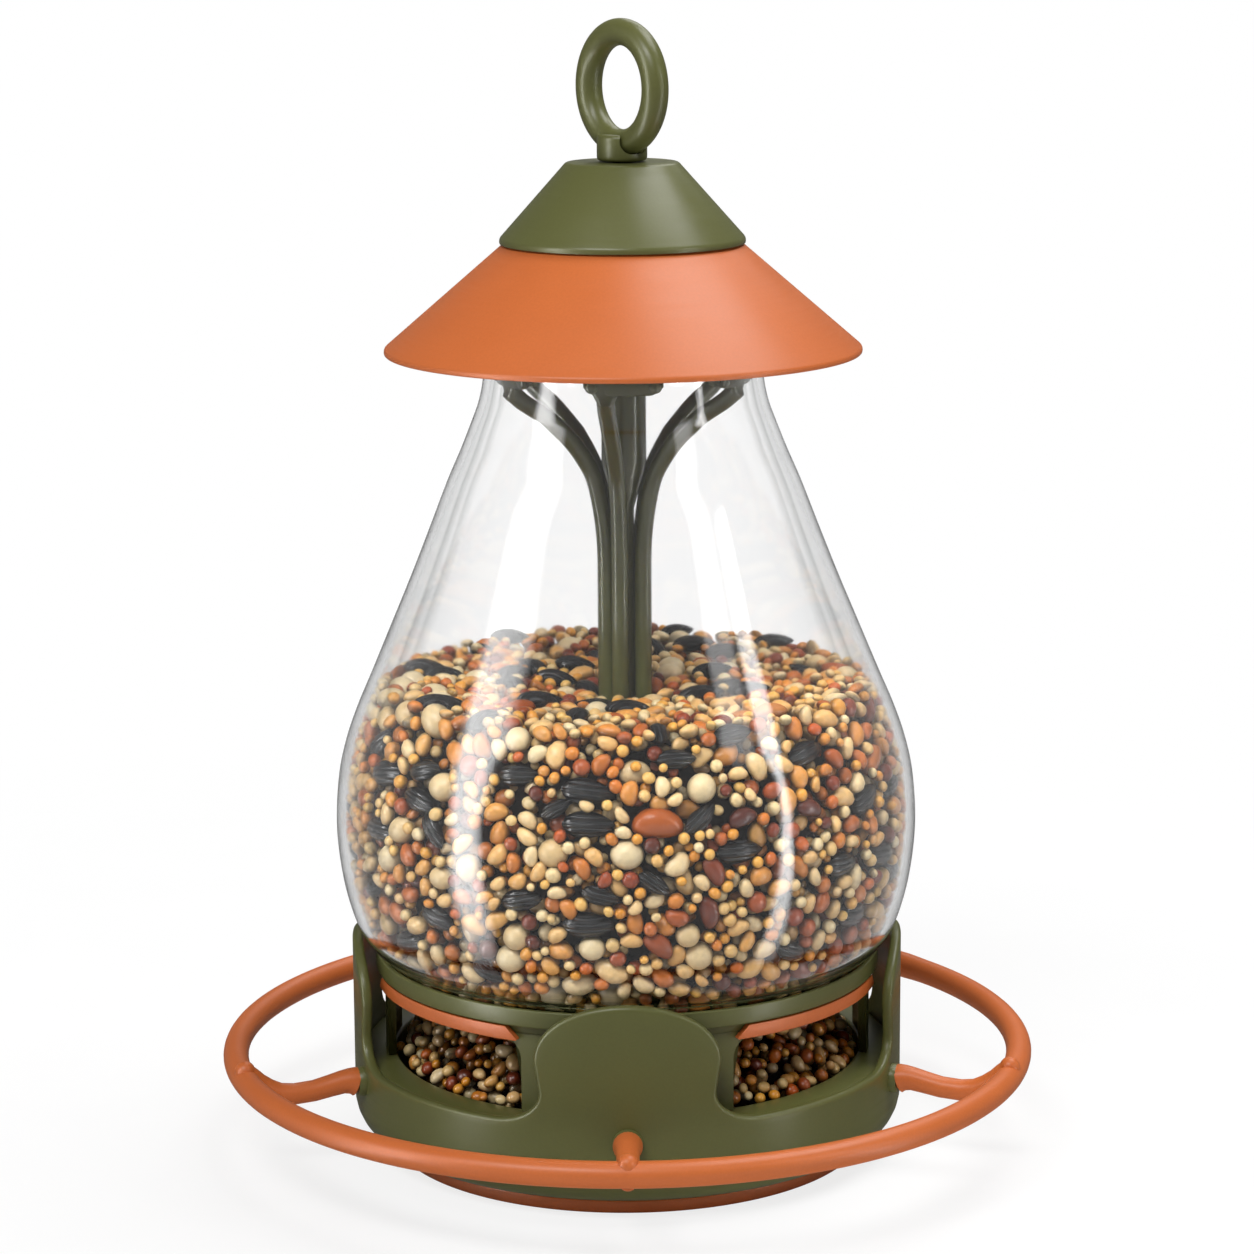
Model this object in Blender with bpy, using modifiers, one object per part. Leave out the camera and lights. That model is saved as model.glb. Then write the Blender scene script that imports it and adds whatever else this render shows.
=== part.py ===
"""Hanging bird feeder: a clear seed hopper on a lobed base tray, with a perch
ring, a cone roof, and a screwed cap that carries the swivelling hanging ring.

Metres, +Z up. The origin is on the feeder's axis at the underside of the
bottom plate. Azimuths are in degrees from the front (-Y) towards +X.
Blender 4.5: blender --background --python part.py
"""

import math
import random

import bmesh
import bpy
from mathutils import Matrix

# Gaps and facets
CLEARANCE = 0.0003
OVERRUN = 0.004
ROUND_STEPS = 36
SMALL_STEPS = 12
RIVET_STEPS = 8
SHARP_ANGLE = math.radians(35)

# Bottom plate
PLATE_INSET = 0.0090
PLATE_THICKNESS = 0.0032
PLATE_POCKET_GAP = 0.0014
PLATE_POCKET_DEPTH = 0.0047
PLATE_POCKET_WALL = 0.0015
PLATE_RIB_HEIGHT = 0.0015
PLATE_RIB_WIDTH = 0.0018

# Base tray
BOWL_RADIUS = 0.0574
BOWL_DEPTH = 0.0149
BOWL_FLOOR = 0.0020
BOWL_FLOOR_GAP = 0.0006
LEDGE_WIDTH = 0.0077
LEDGE_THICKNESS = 0.0020
SILL_LIP = 0.0006
BASE_WALL = 0.0026
BASE_EDGE_HEIGHT = 0.0085
# Height share up the base's lower edge, then the share of the step from the
# plate's radius out to the wall's
BASE_EDGE_SHARES = (
    (1.00, 1.00), (0.56, 0.86), (0.32, 0.70), (0.15, 0.48), (0.00, 0.00),
)
BOWL_SIDE_RUN = 0.0040
SOCKET_HEIGHT = 0.0070
SOCKET_WALL = 0.0019
LOBE_COUNT = 4
LOBE_RISE = 0.0038
LOBE_HALF_ANGLE = 19.0
LOBE_ARCH_SHARE = 0.483
LOBE_WAIST_SHARE = 0.248
LOBE_WAIST_ANGLE_SHARE = 0.94
LOBE_FOOT_ANGLE = 10.0
LOBE_TIP_ANGLE = 2.0

# Screws and the nut under the base
SCREW_COUNT = 4
SCREW_CIRCLE_RADIUS = 0.0300
SCREW_SHANK_RADIUS = 0.0013
SCREW_HEAD_RADIUS = 0.0027
SCREW_HEAD_HEIGHT = 0.0014
SCREW_HEAD_RECESS = 0.0003
SCREW_GRIP = 0.0010
BOSS_RADIUS = 0.0036
NUT_RADIUS = 0.0052
NUT_HEIGHT = 0.0024
WASHER_LIP = 0.0014
WASHER_THICKNESS = 0.0007

# Hopper seat: skirt with four ports, collar and funnel
SEAT_SETBACK = 0.0005
SEAT_SKIRT_WALL = 0.0020
SEAT_HEIGHT = 0.0255
COLLAR_OVERHANG = 0.0021
COLLAR_HEIGHT = 0.0043
COLLAR_LIP = 0.0012
GROOVE_DEPTH = 0.0025
FUNNEL_WIDTH = 0.0139
FUNNEL_DROP = 0.0066
FUNNEL_WALL = 0.0020
PORT_AZIMUTH = 51.5
PORT_HALF_ANGLE = 27.0
PORT_TOP_GAP = 0.0026
PORT_ARCH_HEIGHT = 0.0060

# Orange hoods over the ports
HOOD_HEIGHT = 0.0034
HOOD_THICKNESS = 0.0015
HOOD_HALF_ANGLE = 26.8
HOOD_MITRE_ANGLE = 2.9

# Hopper
HOPPER_HEIGHT = 0.1492
HOPPER_NECK_RADIUS = 0.0336
HOPPER_OVERHANG = 0.0032
HOPPER_BELLY_HEIGHT = 0.0357
HOPPER_WALL = 0.0018
HOPPER_FOOT_HEIGHT = 0.0026
# Radius share against the share of the way down from the neck to the belly
HOPPER_UPPER_SHARES = (
    (0.00, 0.000), (0.08, 0.008), (0.17, 0.092), (0.28, 0.237),
    (0.49, 0.492), (0.70, 0.765), (0.78, 0.868), (0.89, 0.968),
)
# Radius share against the share of the way down from the belly to the foot
HOPPER_LOWER_SHARES = (
    (0.00, 1.000), (0.24, 0.965), (0.47, 0.855), (0.70, 0.665),
    (0.95, 0.220),
)

# Neck ring and the feet of the arms
NECK_FLANGE_LIP = 0.0022
NECK_FLANGE_THICKNESS = 0.0022
FOOT_HEIGHT = 0.0068
FOOT_THICKNESS = 0.0015
FOOT_HALF_ANGLE = 17.8
FOOT_CORNER_SHARES = ((0.00, 0.66), (0.10, 0.84), (0.28, 1.00), (1.00, 1.00))
TAB_HALF_ANGLE = 17.2
TAB_RISE = 0.0008
RIVET_GAP = 0.0013
RIVET_RADIUS = 0.0006
RIVET_HEAD_RADIUS = 0.0015
RIVET_HEAD_HEIGHT = 0.0005
RIVET_SPREAD_ANGLE = 14.0
RIVET_HEIGHT_SHARE = 0.30

# Stem rod and arms
ARM_AZIMUTHS = (0.0, 64.0, 124.0, 180.0, 236.0, 296.0)
ARM_RADIUS = 0.0021
ARM_BUNDLE_GAP = 0.00014
ARM_FLARE_HEIGHT = 0.0415
ARM_FOOT_LAP = 0.0015
# Reach share against the height share of the flare
ARM_FLARE_SHARES = (
    (0.00, 0.000), (0.19, 0.045), (0.37, 0.120), (0.49, 0.225),
    (0.60, 0.365), (0.69, 0.530), (0.85, 0.870), (0.93, 0.985),
    (1.00, 1.000),
)
STEM_ROD_RADIUS = 0.0024
STEM_POST_RADIUS = 0.0054
STEM_POST_LENGTH = 0.0529
STEM_POST_TAPER = 0.0110
STEM_THREAD_RADIUS = 0.0040
STEM_TOP_GAP = 0.0006
STEM_TAIL = 0.0006

# Roof
ROOF_RADIUS = 0.0573
ROOF_HEIGHT = 0.0282
ROOF_RIM_HEIGHT = 0.0012
ROOF_CROWN_RADIUS = 0.0260
ROOF_WALL = 0.0020
ROOF_SKIRT_INSET = 0.0008
ROOF_SKIRT_WALL = 0.0018
ROOF_SKIRT_RISE = 0.0033

# Cap and gasket
CAP_OVERHANG = 0.0034
CAP_TOP_RADIUS = 0.0134
CAP_HEIGHT = 0.0194
CAP_RIM_GAP = 0.0006
CAP_BEAD_HEIGHT = 0.0014
CAP_EDGE_ROUND = 0.0007
CAP_WALL = 0.0022
CAP_TOP_THICKNESS = 0.0028
CAP_SOCKET_WALL = 0.0032
THREAD_GAP = 0.0004
GASKET_RADIUS = 0.0120
GASKET_THICKNESS = 0.0016

# Hanging ring and the swivel boss that holds it
RING_SWING = 40.0
RING_TUBE_RADIUS = 0.0032
RING_RADIUS = 0.0130
RING_AZIMUTH = 53.0
SWIVEL_RADIUS = 0.0060
SWIVEL_HEIGHT = 0.0062
SWIVEL_ROUND = 0.0010
RING_RISE = 0.0010
SHANK_RADIUS = 0.0020
SHANK_TAIL = 0.0009
SWIVEL_NUT_GAP = 0.0006
SWIVEL_NUT_HEIGHT = 0.0023
SWIVEL_WASHER_THICKNESS = 0.0008

# Perch ring and spokes
PERCH_REACH = 0.0292
PERCH_RISE = 0.0032
PERCH_TUBE_RADIUS = 0.0031
PERCH_POINTS = 50
PERCH_COLLAR_AZIMUTH = 130.0
PERCH_COLLAR_SWELL_SHARE = 1.12
SPOKE_COUNT = 5
SPOKE_ROOT_DROP = 0.0034
SPOKE_ROOT_RADIUS = 0.0035
SPOKE_RADIUS = 0.0026
SPOKE_KNOB_INSET = 0.0017
SPOKE_KNOB_RISE = 0.0009
SPOKE_DIP = 0.0014
SPOKE_PLUG_RADIUS = 0.0022
SPOKE_PLUG_LENGTH = 0.0042
SPOKE_PIN_RADIUS = 0.0014
SPOKE_PIN_REACH = 0.0004
# Reach share, then the share of the dip below the root, then the radius share
# between the spoke's own radius and the root's
SPOKE_SHARES = (
    (0.00, 0.00, 1.00), (0.05, -0.10, 0.95), (0.14, -0.18, 0.60),
    (0.28, 0.10, 0.25), (0.45, 0.65, 0.08), (0.62, 1.00, 0.00),
    (0.78, 0.55, 0.00),
)
# Heights of the knob's domed end, as shares of its radius
KNOB_SHARES = (0.30, 0.60, 0.90)

# Seed
SEED_GAP = 0.0004
SEED_TOP_HEIGHT = 0.0700
SEED_CROWN_DROP = 0.0040
SEED_PILE_DROP = 0.0008
SEED_LUMP = 0.0078
SEED_RELIEF = 0.0042
SEED_STEPS = 54
SEED_SHUFFLE = 5
SEED_HOLLOW_SHARE = 0.40
SEED_HOLLOW_DEPTH_SHARE = 1.0
SEED_LUMP_DEPTH_SHARE = 0.25
SEED_EVEN_SHARE = 0.5

# Values that follow from the ones above
WASHER_RADIUS = NUT_RADIUS + WASHER_LIP
PLATE_POCKET_RADIUS = WASHER_RADIUS + PLATE_POCKET_GAP
BASE_WALL_INNER_RADIUS = BOWL_RADIUS + LEDGE_WIDTH
BASE_WALL_RADIUS = BASE_WALL_INNER_RADIUS + BASE_WALL
PLATE_RADIUS = BASE_WALL_RADIUS - PLATE_INSET
BASE_BOTTOM = PLATE_THICKNESS + CLEARANCE
BOWL_FLOOR_TOP = PLATE_POCKET_DEPTH + PLATE_POCKET_WALL + BOWL_FLOOR_GAP + BOWL_FLOOR
LEDGE_HEIGHT = BOWL_FLOOR_TOP + BOWL_DEPTH
SILL_HEIGHT = LEDGE_HEIGHT + SILL_LIP
ARM_BUNDLE_RADIUS = STEM_ROD_RADIUS + CLEARANCE + ARM_RADIUS + ARM_BUNDLE_GAP
BUNDLE_OUTER_RADIUS = ARM_BUNDLE_RADIUS + ARM_RADIUS
SOCKET_RADIUS = BUNDLE_OUTER_RADIUS + CLEARANCE
SEAT_SKIRT_INNER_RADIUS = BOWL_RADIUS + SEAT_SETBACK
SEAT_SKIRT_RADIUS = SEAT_SKIRT_INNER_RADIUS + SEAT_SKIRT_WALL
SEAT_BOTTOM = LEDGE_HEIGHT + CLEARANCE
SEAT_TOP = SEAT_BOTTOM + SEAT_HEIGHT
FUNNEL_RADIUS = SEAT_SKIRT_INNER_RADIUS - FUNNEL_WIDTH
COLLAR_RADIUS = SEAT_SKIRT_RADIUS + COLLAR_OVERHANG
COLLAR_BOTTOM = SEAT_TOP - COLLAR_HEIGHT
GROOVE_FLOOR = SEAT_TOP - GROOVE_DEPTH
LOBE_TOP = SEAT_TOP + LOBE_RISE
LOBE_HEIGHT = LOBE_TOP - SILL_HEIGHT
HOPPER_FOOT_RADIUS = COLLAR_RADIUS - COLLAR_LIP - CLEARANCE
HOPPER_BELLY_RADIUS = BASE_WALL_RADIUS + HOPPER_OVERHANG
HOPPER_BOTTOM = GROOVE_FLOOR + CLEARANCE
HOPPER_TOP = HOPPER_BOTTOM + HOPPER_HEIGHT
HOPPER_BELLY_Z = HOPPER_BOTTOM + HOPPER_BELLY_HEIGHT
FOOT_OUTER_RADIUS = HOPPER_NECK_RADIUS - HOPPER_WALL - RIVET_GAP
FOOT_INNER_RADIUS = FOOT_OUTER_RADIUS - FOOT_THICKNESS
TAB_OUTER_RADIUS = FOOT_INNER_RADIUS - CLEARANCE
TAB_INNER_RADIUS = TAB_OUTER_RADIUS - FOOT_THICKNESS
NECK_FLANGE_RADIUS = HOPPER_NECK_RADIUS + NECK_FLANGE_LIP
NECK_RING_BOTTOM = HOPPER_TOP + CLEARANCE
NECK_RING_TOP = NECK_RING_BOTTOM + NECK_FLANGE_THICKNESS
FOOT_TOP = HOPPER_TOP - CLEARANCE
FOOT_BOTTOM = FOOT_TOP - FOOT_HEIGHT
TAB_BOTTOM = FOOT_BOTTOM + TAB_RISE
RIVET_Z = FOOT_BOTTOM + FOOT_HEIGHT * RIVET_HEIGHT_SHARE
ROOF_SKIRT_RADIUS = NECK_FLANGE_RADIUS - ROOF_SKIRT_INSET
ROOF_BOTTOM = NECK_RING_TOP + CLEARANCE - ROOF_SKIRT_RISE
ROOF_TOP = ROOF_BOTTOM + ROOF_HEIGHT
ROOF_SLOPE = (ROOF_HEIGHT - ROOF_RIM_HEIGHT) / (ROOF_RADIUS - ROOF_CROWN_RADIUS)
STEM_SHOULDER = ROOF_TOP - ROOF_WALL - CLEARANCE
CAP_RADIUS = ROOF_CROWN_RADIUS + CAP_OVERHANG
CAP_BOTTOM = ROOF_TOP - (CAP_RADIUS - ROOF_CROWN_RADIUS) * ROOF_SLOPE + CAP_RIM_GAP
CAP_TOP = CAP_BOTTOM + CAP_HEIGHT
CAP_BORE_RADIUS = STEM_THREAD_RADIUS + THREAD_GAP
GASKET_BOTTOM = ROOF_TOP + CLEARANCE
GASKET_TOP = GASKET_BOTTOM + GASKET_THICKNESS
SWIVEL_BOTTOM = CAP_TOP + CLEARANCE
SWIVEL_NUT_RADIUS = CAP_BORE_RADIUS - SWIVEL_NUT_GAP
SWIVEL_WASHER_TOP = CAP_TOP - CAP_TOP_THICKNESS - CLEARANCE
SWIVEL_WASHER_BOTTOM = SWIVEL_WASHER_TOP - SWIVEL_WASHER_THICKNESS
SWIVEL_NUT_TOP = SWIVEL_WASHER_BOTTOM - CLEARANCE
SWIVEL_NUT_BOTTOM = SWIVEL_NUT_TOP - SWIVEL_NUT_HEIGHT
SHANK_BOTTOM = SWIVEL_NUT_BOTTOM - SHANK_TAIL
STEM_TOP = SHANK_BOTTOM - STEM_TOP_GAP
RING_PIVOT_Z = SWIVEL_BOTTOM + RING_RISE + RING_TUBE_RADIUS
SPOKE_ROOT_HEIGHT = LEDGE_HEIGHT - SPOKE_ROOT_DROP
PERCH_RADIUS = BASE_WALL_RADIUS + PERCH_REACH
PERCH_HEIGHT = SPOKE_ROOT_HEIGHT + PERCH_RISE
WINDOW_AZIMUTHS = tuple(360 / LOBE_COUNT * (index + 0.5) for index in range(LOBE_COUNT))
PORT_AZIMUTHS = (PORT_AZIMUTH, 180 - PORT_AZIMUTH, 180 + PORT_AZIMUTH, 360 - PORT_AZIMUTH)

PARTS = "bird_feeder"
CUTTERS = "cutters"


def clear_scene():
    """Start from nothing, with one collection for parts and one for cutters."""
    for obj in list(bpy.data.objects):
        bpy.data.objects.remove(obj, do_unlink=True)
    for name in (PARTS, CUTTERS):
        collection = bpy.data.collections.new(name)
        bpy.context.scene.collection.children.link(collection)


def surface(name, colour, roughness, metallic=0.0, alpha=1.0):
    """A Principled material; the colour is linear."""
    material = bpy.data.materials.new(name)
    material.use_nodes = True
    shader = material.node_tree.nodes["Principled BSDF"]
    shader.inputs["Base Color"].default_value = (*colour, 1.0)
    shader.inputs["Roughness"].default_value = roughness
    shader.inputs["Metallic"].default_value = metallic
    shader.inputs["Alpha"].default_value = alpha
    material.diffuse_color = (*colour, alpha)
    return material


def add_object(name, mesh, material=None):
    """Link a mesh as a smooth-shaded part with its own material."""
    obj = bpy.data.objects.new(name, mesh)
    bpy.data.collections[PARTS].objects.link(obj)
    mesh.shade_smooth()
    mesh.set_sharp_from_angle(angle=SHARP_ANGLE)
    if material:
        mesh.materials.append(material)
    return obj


def as_cutter(obj):
    """Turn a part into a cutter, which is drawn as wire and never rendered."""
    bpy.data.collections[PARTS].objects.unlink(obj)
    bpy.data.collections[CUTTERS].objects.link(obj)
    obj.hide_render = True
    obj.display_type = "WIRE"
    return obj


def boolean(obj, tool, operation):
    """Add one exact boolean with the tool object."""
    modifier = obj.modifiers.new(operation.title(), "BOOLEAN")
    modifier.operation = operation
    modifier.solver = "EXACT"
    modifier.object = tool


def cut(obj, *tools):
    """Cut the tools out of a part."""
    for tool in tools:
        boolean(obj, as_cutter(tool), "DIFFERENCE")


def join(obj, *tools):
    """Fuse the tools into a part."""
    for tool in tools:
        boolean(obj, as_cutter(tool), "UNION")


def baked(obj):
    """The evaluated mesh of an object, whose object is then removed."""
    bpy.context.view_layer.update()
    graph = bpy.context.evaluated_depsgraph_get()
    mesh = bpy.data.meshes.new_from_object(obj.evaluated_get(graph))
    mesh.name = obj.name
    bpy.data.objects.remove(obj, do_unlink=True)
    return mesh


def turned(name, profile, material=None, steps=ROUND_STEPS):
    """Turn (radius, height) points about Z.

    A closed section runs down its outer side and up its inner side. A section
    that starts and ends on the axis is left open there.
    """
    mesh = bpy.data.meshes.new(name)
    on_axis = profile[0][0] == 0
    count = len(profile)
    edges = [(index, (index + 1) % count) for index in range(count - on_axis)]
    mesh.from_pydata([(radius, 0, height) for radius, height in profile], edges, [])
    blank = bpy.data.objects.new(name, mesh)
    bpy.context.scene.collection.objects.link(blank)
    screw = blank.modifiers.new("Screw", "SCREW")
    screw.steps = steps
    screw.render_steps = steps
    screw.use_merge_vertices = True
    screw.merge_threshold = 0.00001
    return add_object(name, baked(blank), material)


def tube(name, points, radii, material=None, resolution=2):
    """A round bar along the points, with a radius at each and welded caps."""
    curve = bpy.data.curves.new(name, "CURVE")
    curve.dimensions = "3D"
    curve.bevel_depth = 1.0
    curve.bevel_resolution = resolution
    curve.use_fill_caps = True
    spline = curve.splines.new("POLY")
    spline.points.add(len(points) - 1)
    for node, point, radius in zip(spline.points, points, radii):
        node.co = (*point, 1.0)
        node.radius = radius
    blank = bpy.data.objects.new(name, curve)
    bpy.context.scene.collection.objects.link(blank)
    mesh = baked(blank)
    solid = bmesh.new()
    solid.from_mesh(mesh)
    bmesh.ops.remove_doubles(solid, verts=solid.verts, dist=0.00001)
    bmesh.ops.recalc_face_normals(solid, faces=solid.faces)
    solid.to_mesh(mesh)
    solid.free()
    return add_object(name, mesh, material)


def arc_block(name, rows, inner, outer, azimuth, divisions, material=None):
    """A block bent round the axis between two radii.

    Each row is (height, half angle), bottom to top, about the azimuth.
    """
    solid = bmesh.new()
    shells = []
    for radius in (inner, outer):
        shell = []
        for height, half_angle in rows:
            angles = [azimuth + half_angle * (2 * step / divisions - 1) for step in range(divisions + 1)]
            shell.append([solid.verts.new(polar(radius, angle, height)) for angle in angles])
        shells.append(shell)
    last_row = len(rows) - 1
    for shell in shells:
        for row in range(last_row):
            for step in range(divisions):
                lower, upper = shell[row], shell[row + 1]
                solid.faces.new((lower[step], lower[step + 1], upper[step + 1], upper[step]))
    near, far = shells
    for row in range(last_row):
        for step in (0, divisions):
            solid.faces.new((near[row][step], far[row][step], far[row + 1][step], near[row + 1][step]))
    for step in range(divisions):
        for row in (0, last_row):
            solid.faces.new((near[row][step], far[row][step], far[row][step + 1], near[row][step + 1]))
    bmesh.ops.recalc_face_normals(solid, faces=solid.faces)
    mesh = bpy.data.meshes.new(name)
    solid.to_mesh(mesh)
    solid.free()
    return add_object(name, mesh, material)


def polar(radius, azimuth, height):
    """A point from its radius, its azimuth in degrees and its height."""
    angle = math.radians(azimuth)
    return (radius * math.sin(angle), -radius * math.cos(angle), height)


def upright_pin(name, radius, bottom, top, centre, steps=SMALL_STEPS):
    """A plain upright cylinder about a centre in plan."""
    pin = turned(name, [(0, top), (radius, top), (radius, bottom), (0, bottom)], steps=steps)
    pin.location = (*centre, 0)
    return pin


def radial_pin(name, profile, azimuth, height, material=None, steps=SMALL_STEPS):
    """A turned piece whose axis points outwards; profile heights are distances from the axis."""
    pin = turned(name, profile, material, steps)
    pin.rotation_euler = (math.radians(90), 0, math.radians(azimuth))
    pin.location = (0, 0, height)
    return pin


def rod_profile(radius, start, end):
    """A plain cylinder as a turned section, from its far end to its near end."""
    return [(0, end), (radius, end), (radius, start), (0, start)]


def lobe_rows():
    """Half angles of the gap between two lobes, from the sill to above the lobes."""
    middle = 180 / LOBE_COUNT
    arch_height = LOBE_HEIGHT * LOBE_ARCH_SHARE
    waist_height = LOBE_HEIGHT * LOBE_WAIST_SHARE
    shoulder = LOBE_TOP - arch_height
    waist = SILL_HEIGHT + waist_height
    waist_angle = LOBE_HALF_ANGLE * LOBE_WAIST_ANGLE_SHARE
    rows = []
    for step in range(5):
        turn = math.radians(90 * (1 - step / 4))
        edge = waist_angle + LOBE_FOOT_ANGLE * (1 - math.cos(turn))
        rows.append((waist - waist_height * math.sin(turn), middle - edge))
    rows.append(((waist + shoulder) / 2, middle - (waist_angle + LOBE_HALF_ANGLE) / 2))
    for step in range(7):
        turn = math.radians(90 * step / 6)
        edge = max(LOBE_HALF_ANGLE * math.cos(turn), LOBE_TIP_ANGLE)
        rows.append((shoulder + arch_height * math.sin(turn), middle - edge))
    rows[-1] = (LOBE_TOP + OVERRUN, middle - LOBE_TIP_ANGLE)
    return rows


def port_rows():
    """Half angles of a feeding port, from below the skirt to its arched top."""
    top = COLLAR_BOTTOM - PORT_TOP_GAP
    spring = top - PORT_ARCH_HEIGHT
    rows = [(SEAT_BOTTOM - OVERRUN, PORT_HALF_ANGLE), (spring, PORT_HALF_ANGLE)]
    for step in range(1, 5):
        turn = math.radians(90 * step / 4)
        narrowing = 1 - math.cos(turn)
        rows.append((spring + PORT_ARCH_HEIGHT * math.sin(turn), PORT_HALF_ANGLE * (1 - narrowing * 0.3)))
    return rows


def hopper_outline():
    """Outer (radius, height) points of the hopper from its neck to its foot."""
    points = []
    for down, share in HOPPER_UPPER_SHARES:
        radius = HOPPER_NECK_RADIUS + (HOPPER_BELLY_RADIUS - HOPPER_NECK_RADIUS) * share
        points.append((radius, HOPPER_TOP + (HOPPER_BELLY_Z - HOPPER_TOP) * down))
    foot_top = HOPPER_BOTTOM + HOPPER_FOOT_HEIGHT
    for down, share in HOPPER_LOWER_SHARES:
        radius = HOPPER_FOOT_RADIUS + (HOPPER_BELLY_RADIUS - HOPPER_FOOT_RADIUS) * share
        points.append((radius, HOPPER_BELLY_Z + (foot_top - HOPPER_BELLY_Z) * down))
    points.append((HOPPER_FOOT_RADIUS, foot_top))
    points.append((HOPPER_FOOT_RADIUS, HOPPER_BOTTOM))
    return points


def inset(points, distance):
    """The outline moved inwards, square to itself; its ends keep their heights."""
    moved = []
    last = len(points) - 1
    for index, (radius, height) in enumerate(points):
        before = points[max(index - 1, 0)]
        after = points[min(index + 1, last)]
        run, drop = after[0] - before[0], before[1] - after[1]
        length = math.hypot(run, drop)
        if index in (0, last):
            moved.append((radius - distance, height))
        else:
            moved.append((radius - distance * drop / length, height - distance * run / length))
    return moved


def make_bottom_plate(orange):
    """Orange disc with a centring rib and a raised pocket for the stem nut."""
    pocket_top = PLATE_POCKET_DEPTH + PLATE_POCKET_WALL
    pocket_outer = PLATE_POCKET_RADIUS + PLATE_POCKET_WALL
    rib_outer = PLATE_RADIUS - BASE_WALL - CLEARANCE
    rib_top = PLATE_THICKNESS + PLATE_RIB_HEIGHT
    plate = turned("bottom_plate", [
        (PLATE_RADIUS, PLATE_THICKNESS),
        (PLATE_RADIUS, 0),
        (PLATE_POCKET_RADIUS, 0),
        (PLATE_POCKET_RADIUS, PLATE_POCKET_DEPTH),
        (STEM_ROD_RADIUS + CLEARANCE, PLATE_POCKET_DEPTH),
        (STEM_ROD_RADIUS + CLEARANCE, pocket_top),
        (pocket_outer, pocket_top),
        (pocket_outer, PLATE_THICKNESS),
        (rib_outer - PLATE_RIB_WIDTH, PLATE_THICKNESS),
        (rib_outer - PLATE_RIB_WIDTH, rib_top),
        (rib_outer, rib_top),
        (rib_outer, PLATE_THICKNESS),
    ], orange)
    for centre in screw_centres():
        cut(plate, upright_pin("plate_screw_hole", SCREW_SHANK_RADIUS + CLEARANCE,
                               -OVERRUN, PLATE_THICKNESS + OVERRUN, centre))
        cut(plate, upright_pin("plate_screw_recess", SCREW_HEAD_RADIUS + CLEARANCE, -OVERRUN,
                               SCREW_HEAD_RECESS + SCREW_HEAD_HEIGHT + CLEARANCE, centre))


def screw_centres():
    """Plan positions of the base screws."""
    return [polar(SCREW_CIRCLE_RADIUS, azimuth, 0)[:2]
            for azimuth in (360 / SCREW_COUNT * (index + 0.5) for index in range(SCREW_COUNT))]


def make_base_screws(steel):
    """Screws that hold the bottom plate to the bosses under the bowl."""
    head_top = SCREW_HEAD_RECESS + SCREW_HEAD_HEIGHT
    for index, centre in enumerate(screw_centres()):
        screw = turned(f"base_screw_{index + 1}", [
            (0, BOWL_FLOOR_TOP - SCREW_GRIP - CLEARANCE),
            (SCREW_SHANK_RADIUS, BOWL_FLOOR_TOP - SCREW_GRIP - CLEARANCE),
            (SCREW_SHANK_RADIUS, head_top),
            (SCREW_HEAD_RADIUS, head_top),
            (SCREW_HEAD_RADIUS, SCREW_HEAD_RECESS),
            (0, SCREW_HEAD_RECESS),
        ], steel, SMALL_STEPS)
        screw.location = (*centre, 0)


def make_base_body(green):
    """Lobed outer wall, ledge and seed bowl, moulded in one piece."""
    edge = [(PLATE_RADIUS + PLATE_INSET * out, BASE_BOTTOM + BASE_EDGE_HEIGHT * up)
            for up, out in BASE_EDGE_SHARES]
    bowl_floor_radius = BOWL_RADIUS - BOWL_SIDE_RUN
    floor_bottom = BOWL_FLOOR_TOP - BOWL_FLOOR
    socket_outer = SOCKET_RADIUS + SOCKET_WALL
    socket_top = BOWL_FLOOR_TOP + SOCKET_HEIGHT
    rod_hole = STEM_ROD_RADIUS + CLEARANCE
    body = turned("base_body", [
        (BASE_WALL_RADIUS, LOBE_TOP),
        *edge,
        *inset(edge, BASE_WALL)[::-1],
        (BASE_WALL_INNER_RADIUS, LEDGE_HEIGHT - LEDGE_THICKNESS),
        (BOWL_RADIUS + BOWL_FLOOR, LEDGE_HEIGHT - LEDGE_THICKNESS),
        (bowl_floor_radius + BOWL_FLOOR / 2, floor_bottom),
        (rod_hole, floor_bottom),
        (rod_hole, BOWL_FLOOR_TOP),
        (SOCKET_RADIUS, BOWL_FLOOR_TOP),
        (SOCKET_RADIUS, socket_top),
        (socket_outer, socket_top),
        (socket_outer, BOWL_FLOOR_TOP),
        (bowl_floor_radius, BOWL_FLOOR_TOP),
        (BOWL_RADIUS, LEDGE_HEIGHT),
        (BASE_WALL_INNER_RADIUS, LEDGE_HEIGHT),
        (BASE_WALL_INNER_RADIUS, LOBE_TOP),
    ], green)
    for azimuth in WINDOW_AZIMUTHS:
        cut(body, arc_block("window_cutter", lobe_rows(), BASE_WALL_INNER_RADIUS - OVERRUN,
                            BASE_WALL_RADIUS + OVERRUN, azimuth, 10))
    for azimuth in spoke_azimuths():
        cut(body, radial_pin("spoke_hole", rod_profile(
            SPOKE_PLUG_RADIUS + CLEARANCE, BASE_WALL_INNER_RADIUS - OVERRUN / 2, BASE_WALL_RADIUS + OVERRUN),
            azimuth, SPOKE_ROOT_HEIGHT))
    for centre in screw_centres():
        join(body, upright_pin("screw_boss", BOSS_RADIUS, PLATE_THICKNESS + CLEARANCE,
                               BOWL_FLOOR_TOP - BOWL_FLOOR / 2, centre))
        cut(body, upright_pin("screw_hole", SCREW_SHANK_RADIUS + CLEARANCE, -OVERRUN,
                              BOWL_FLOOR_TOP - SCREW_GRIP, centre))


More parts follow.
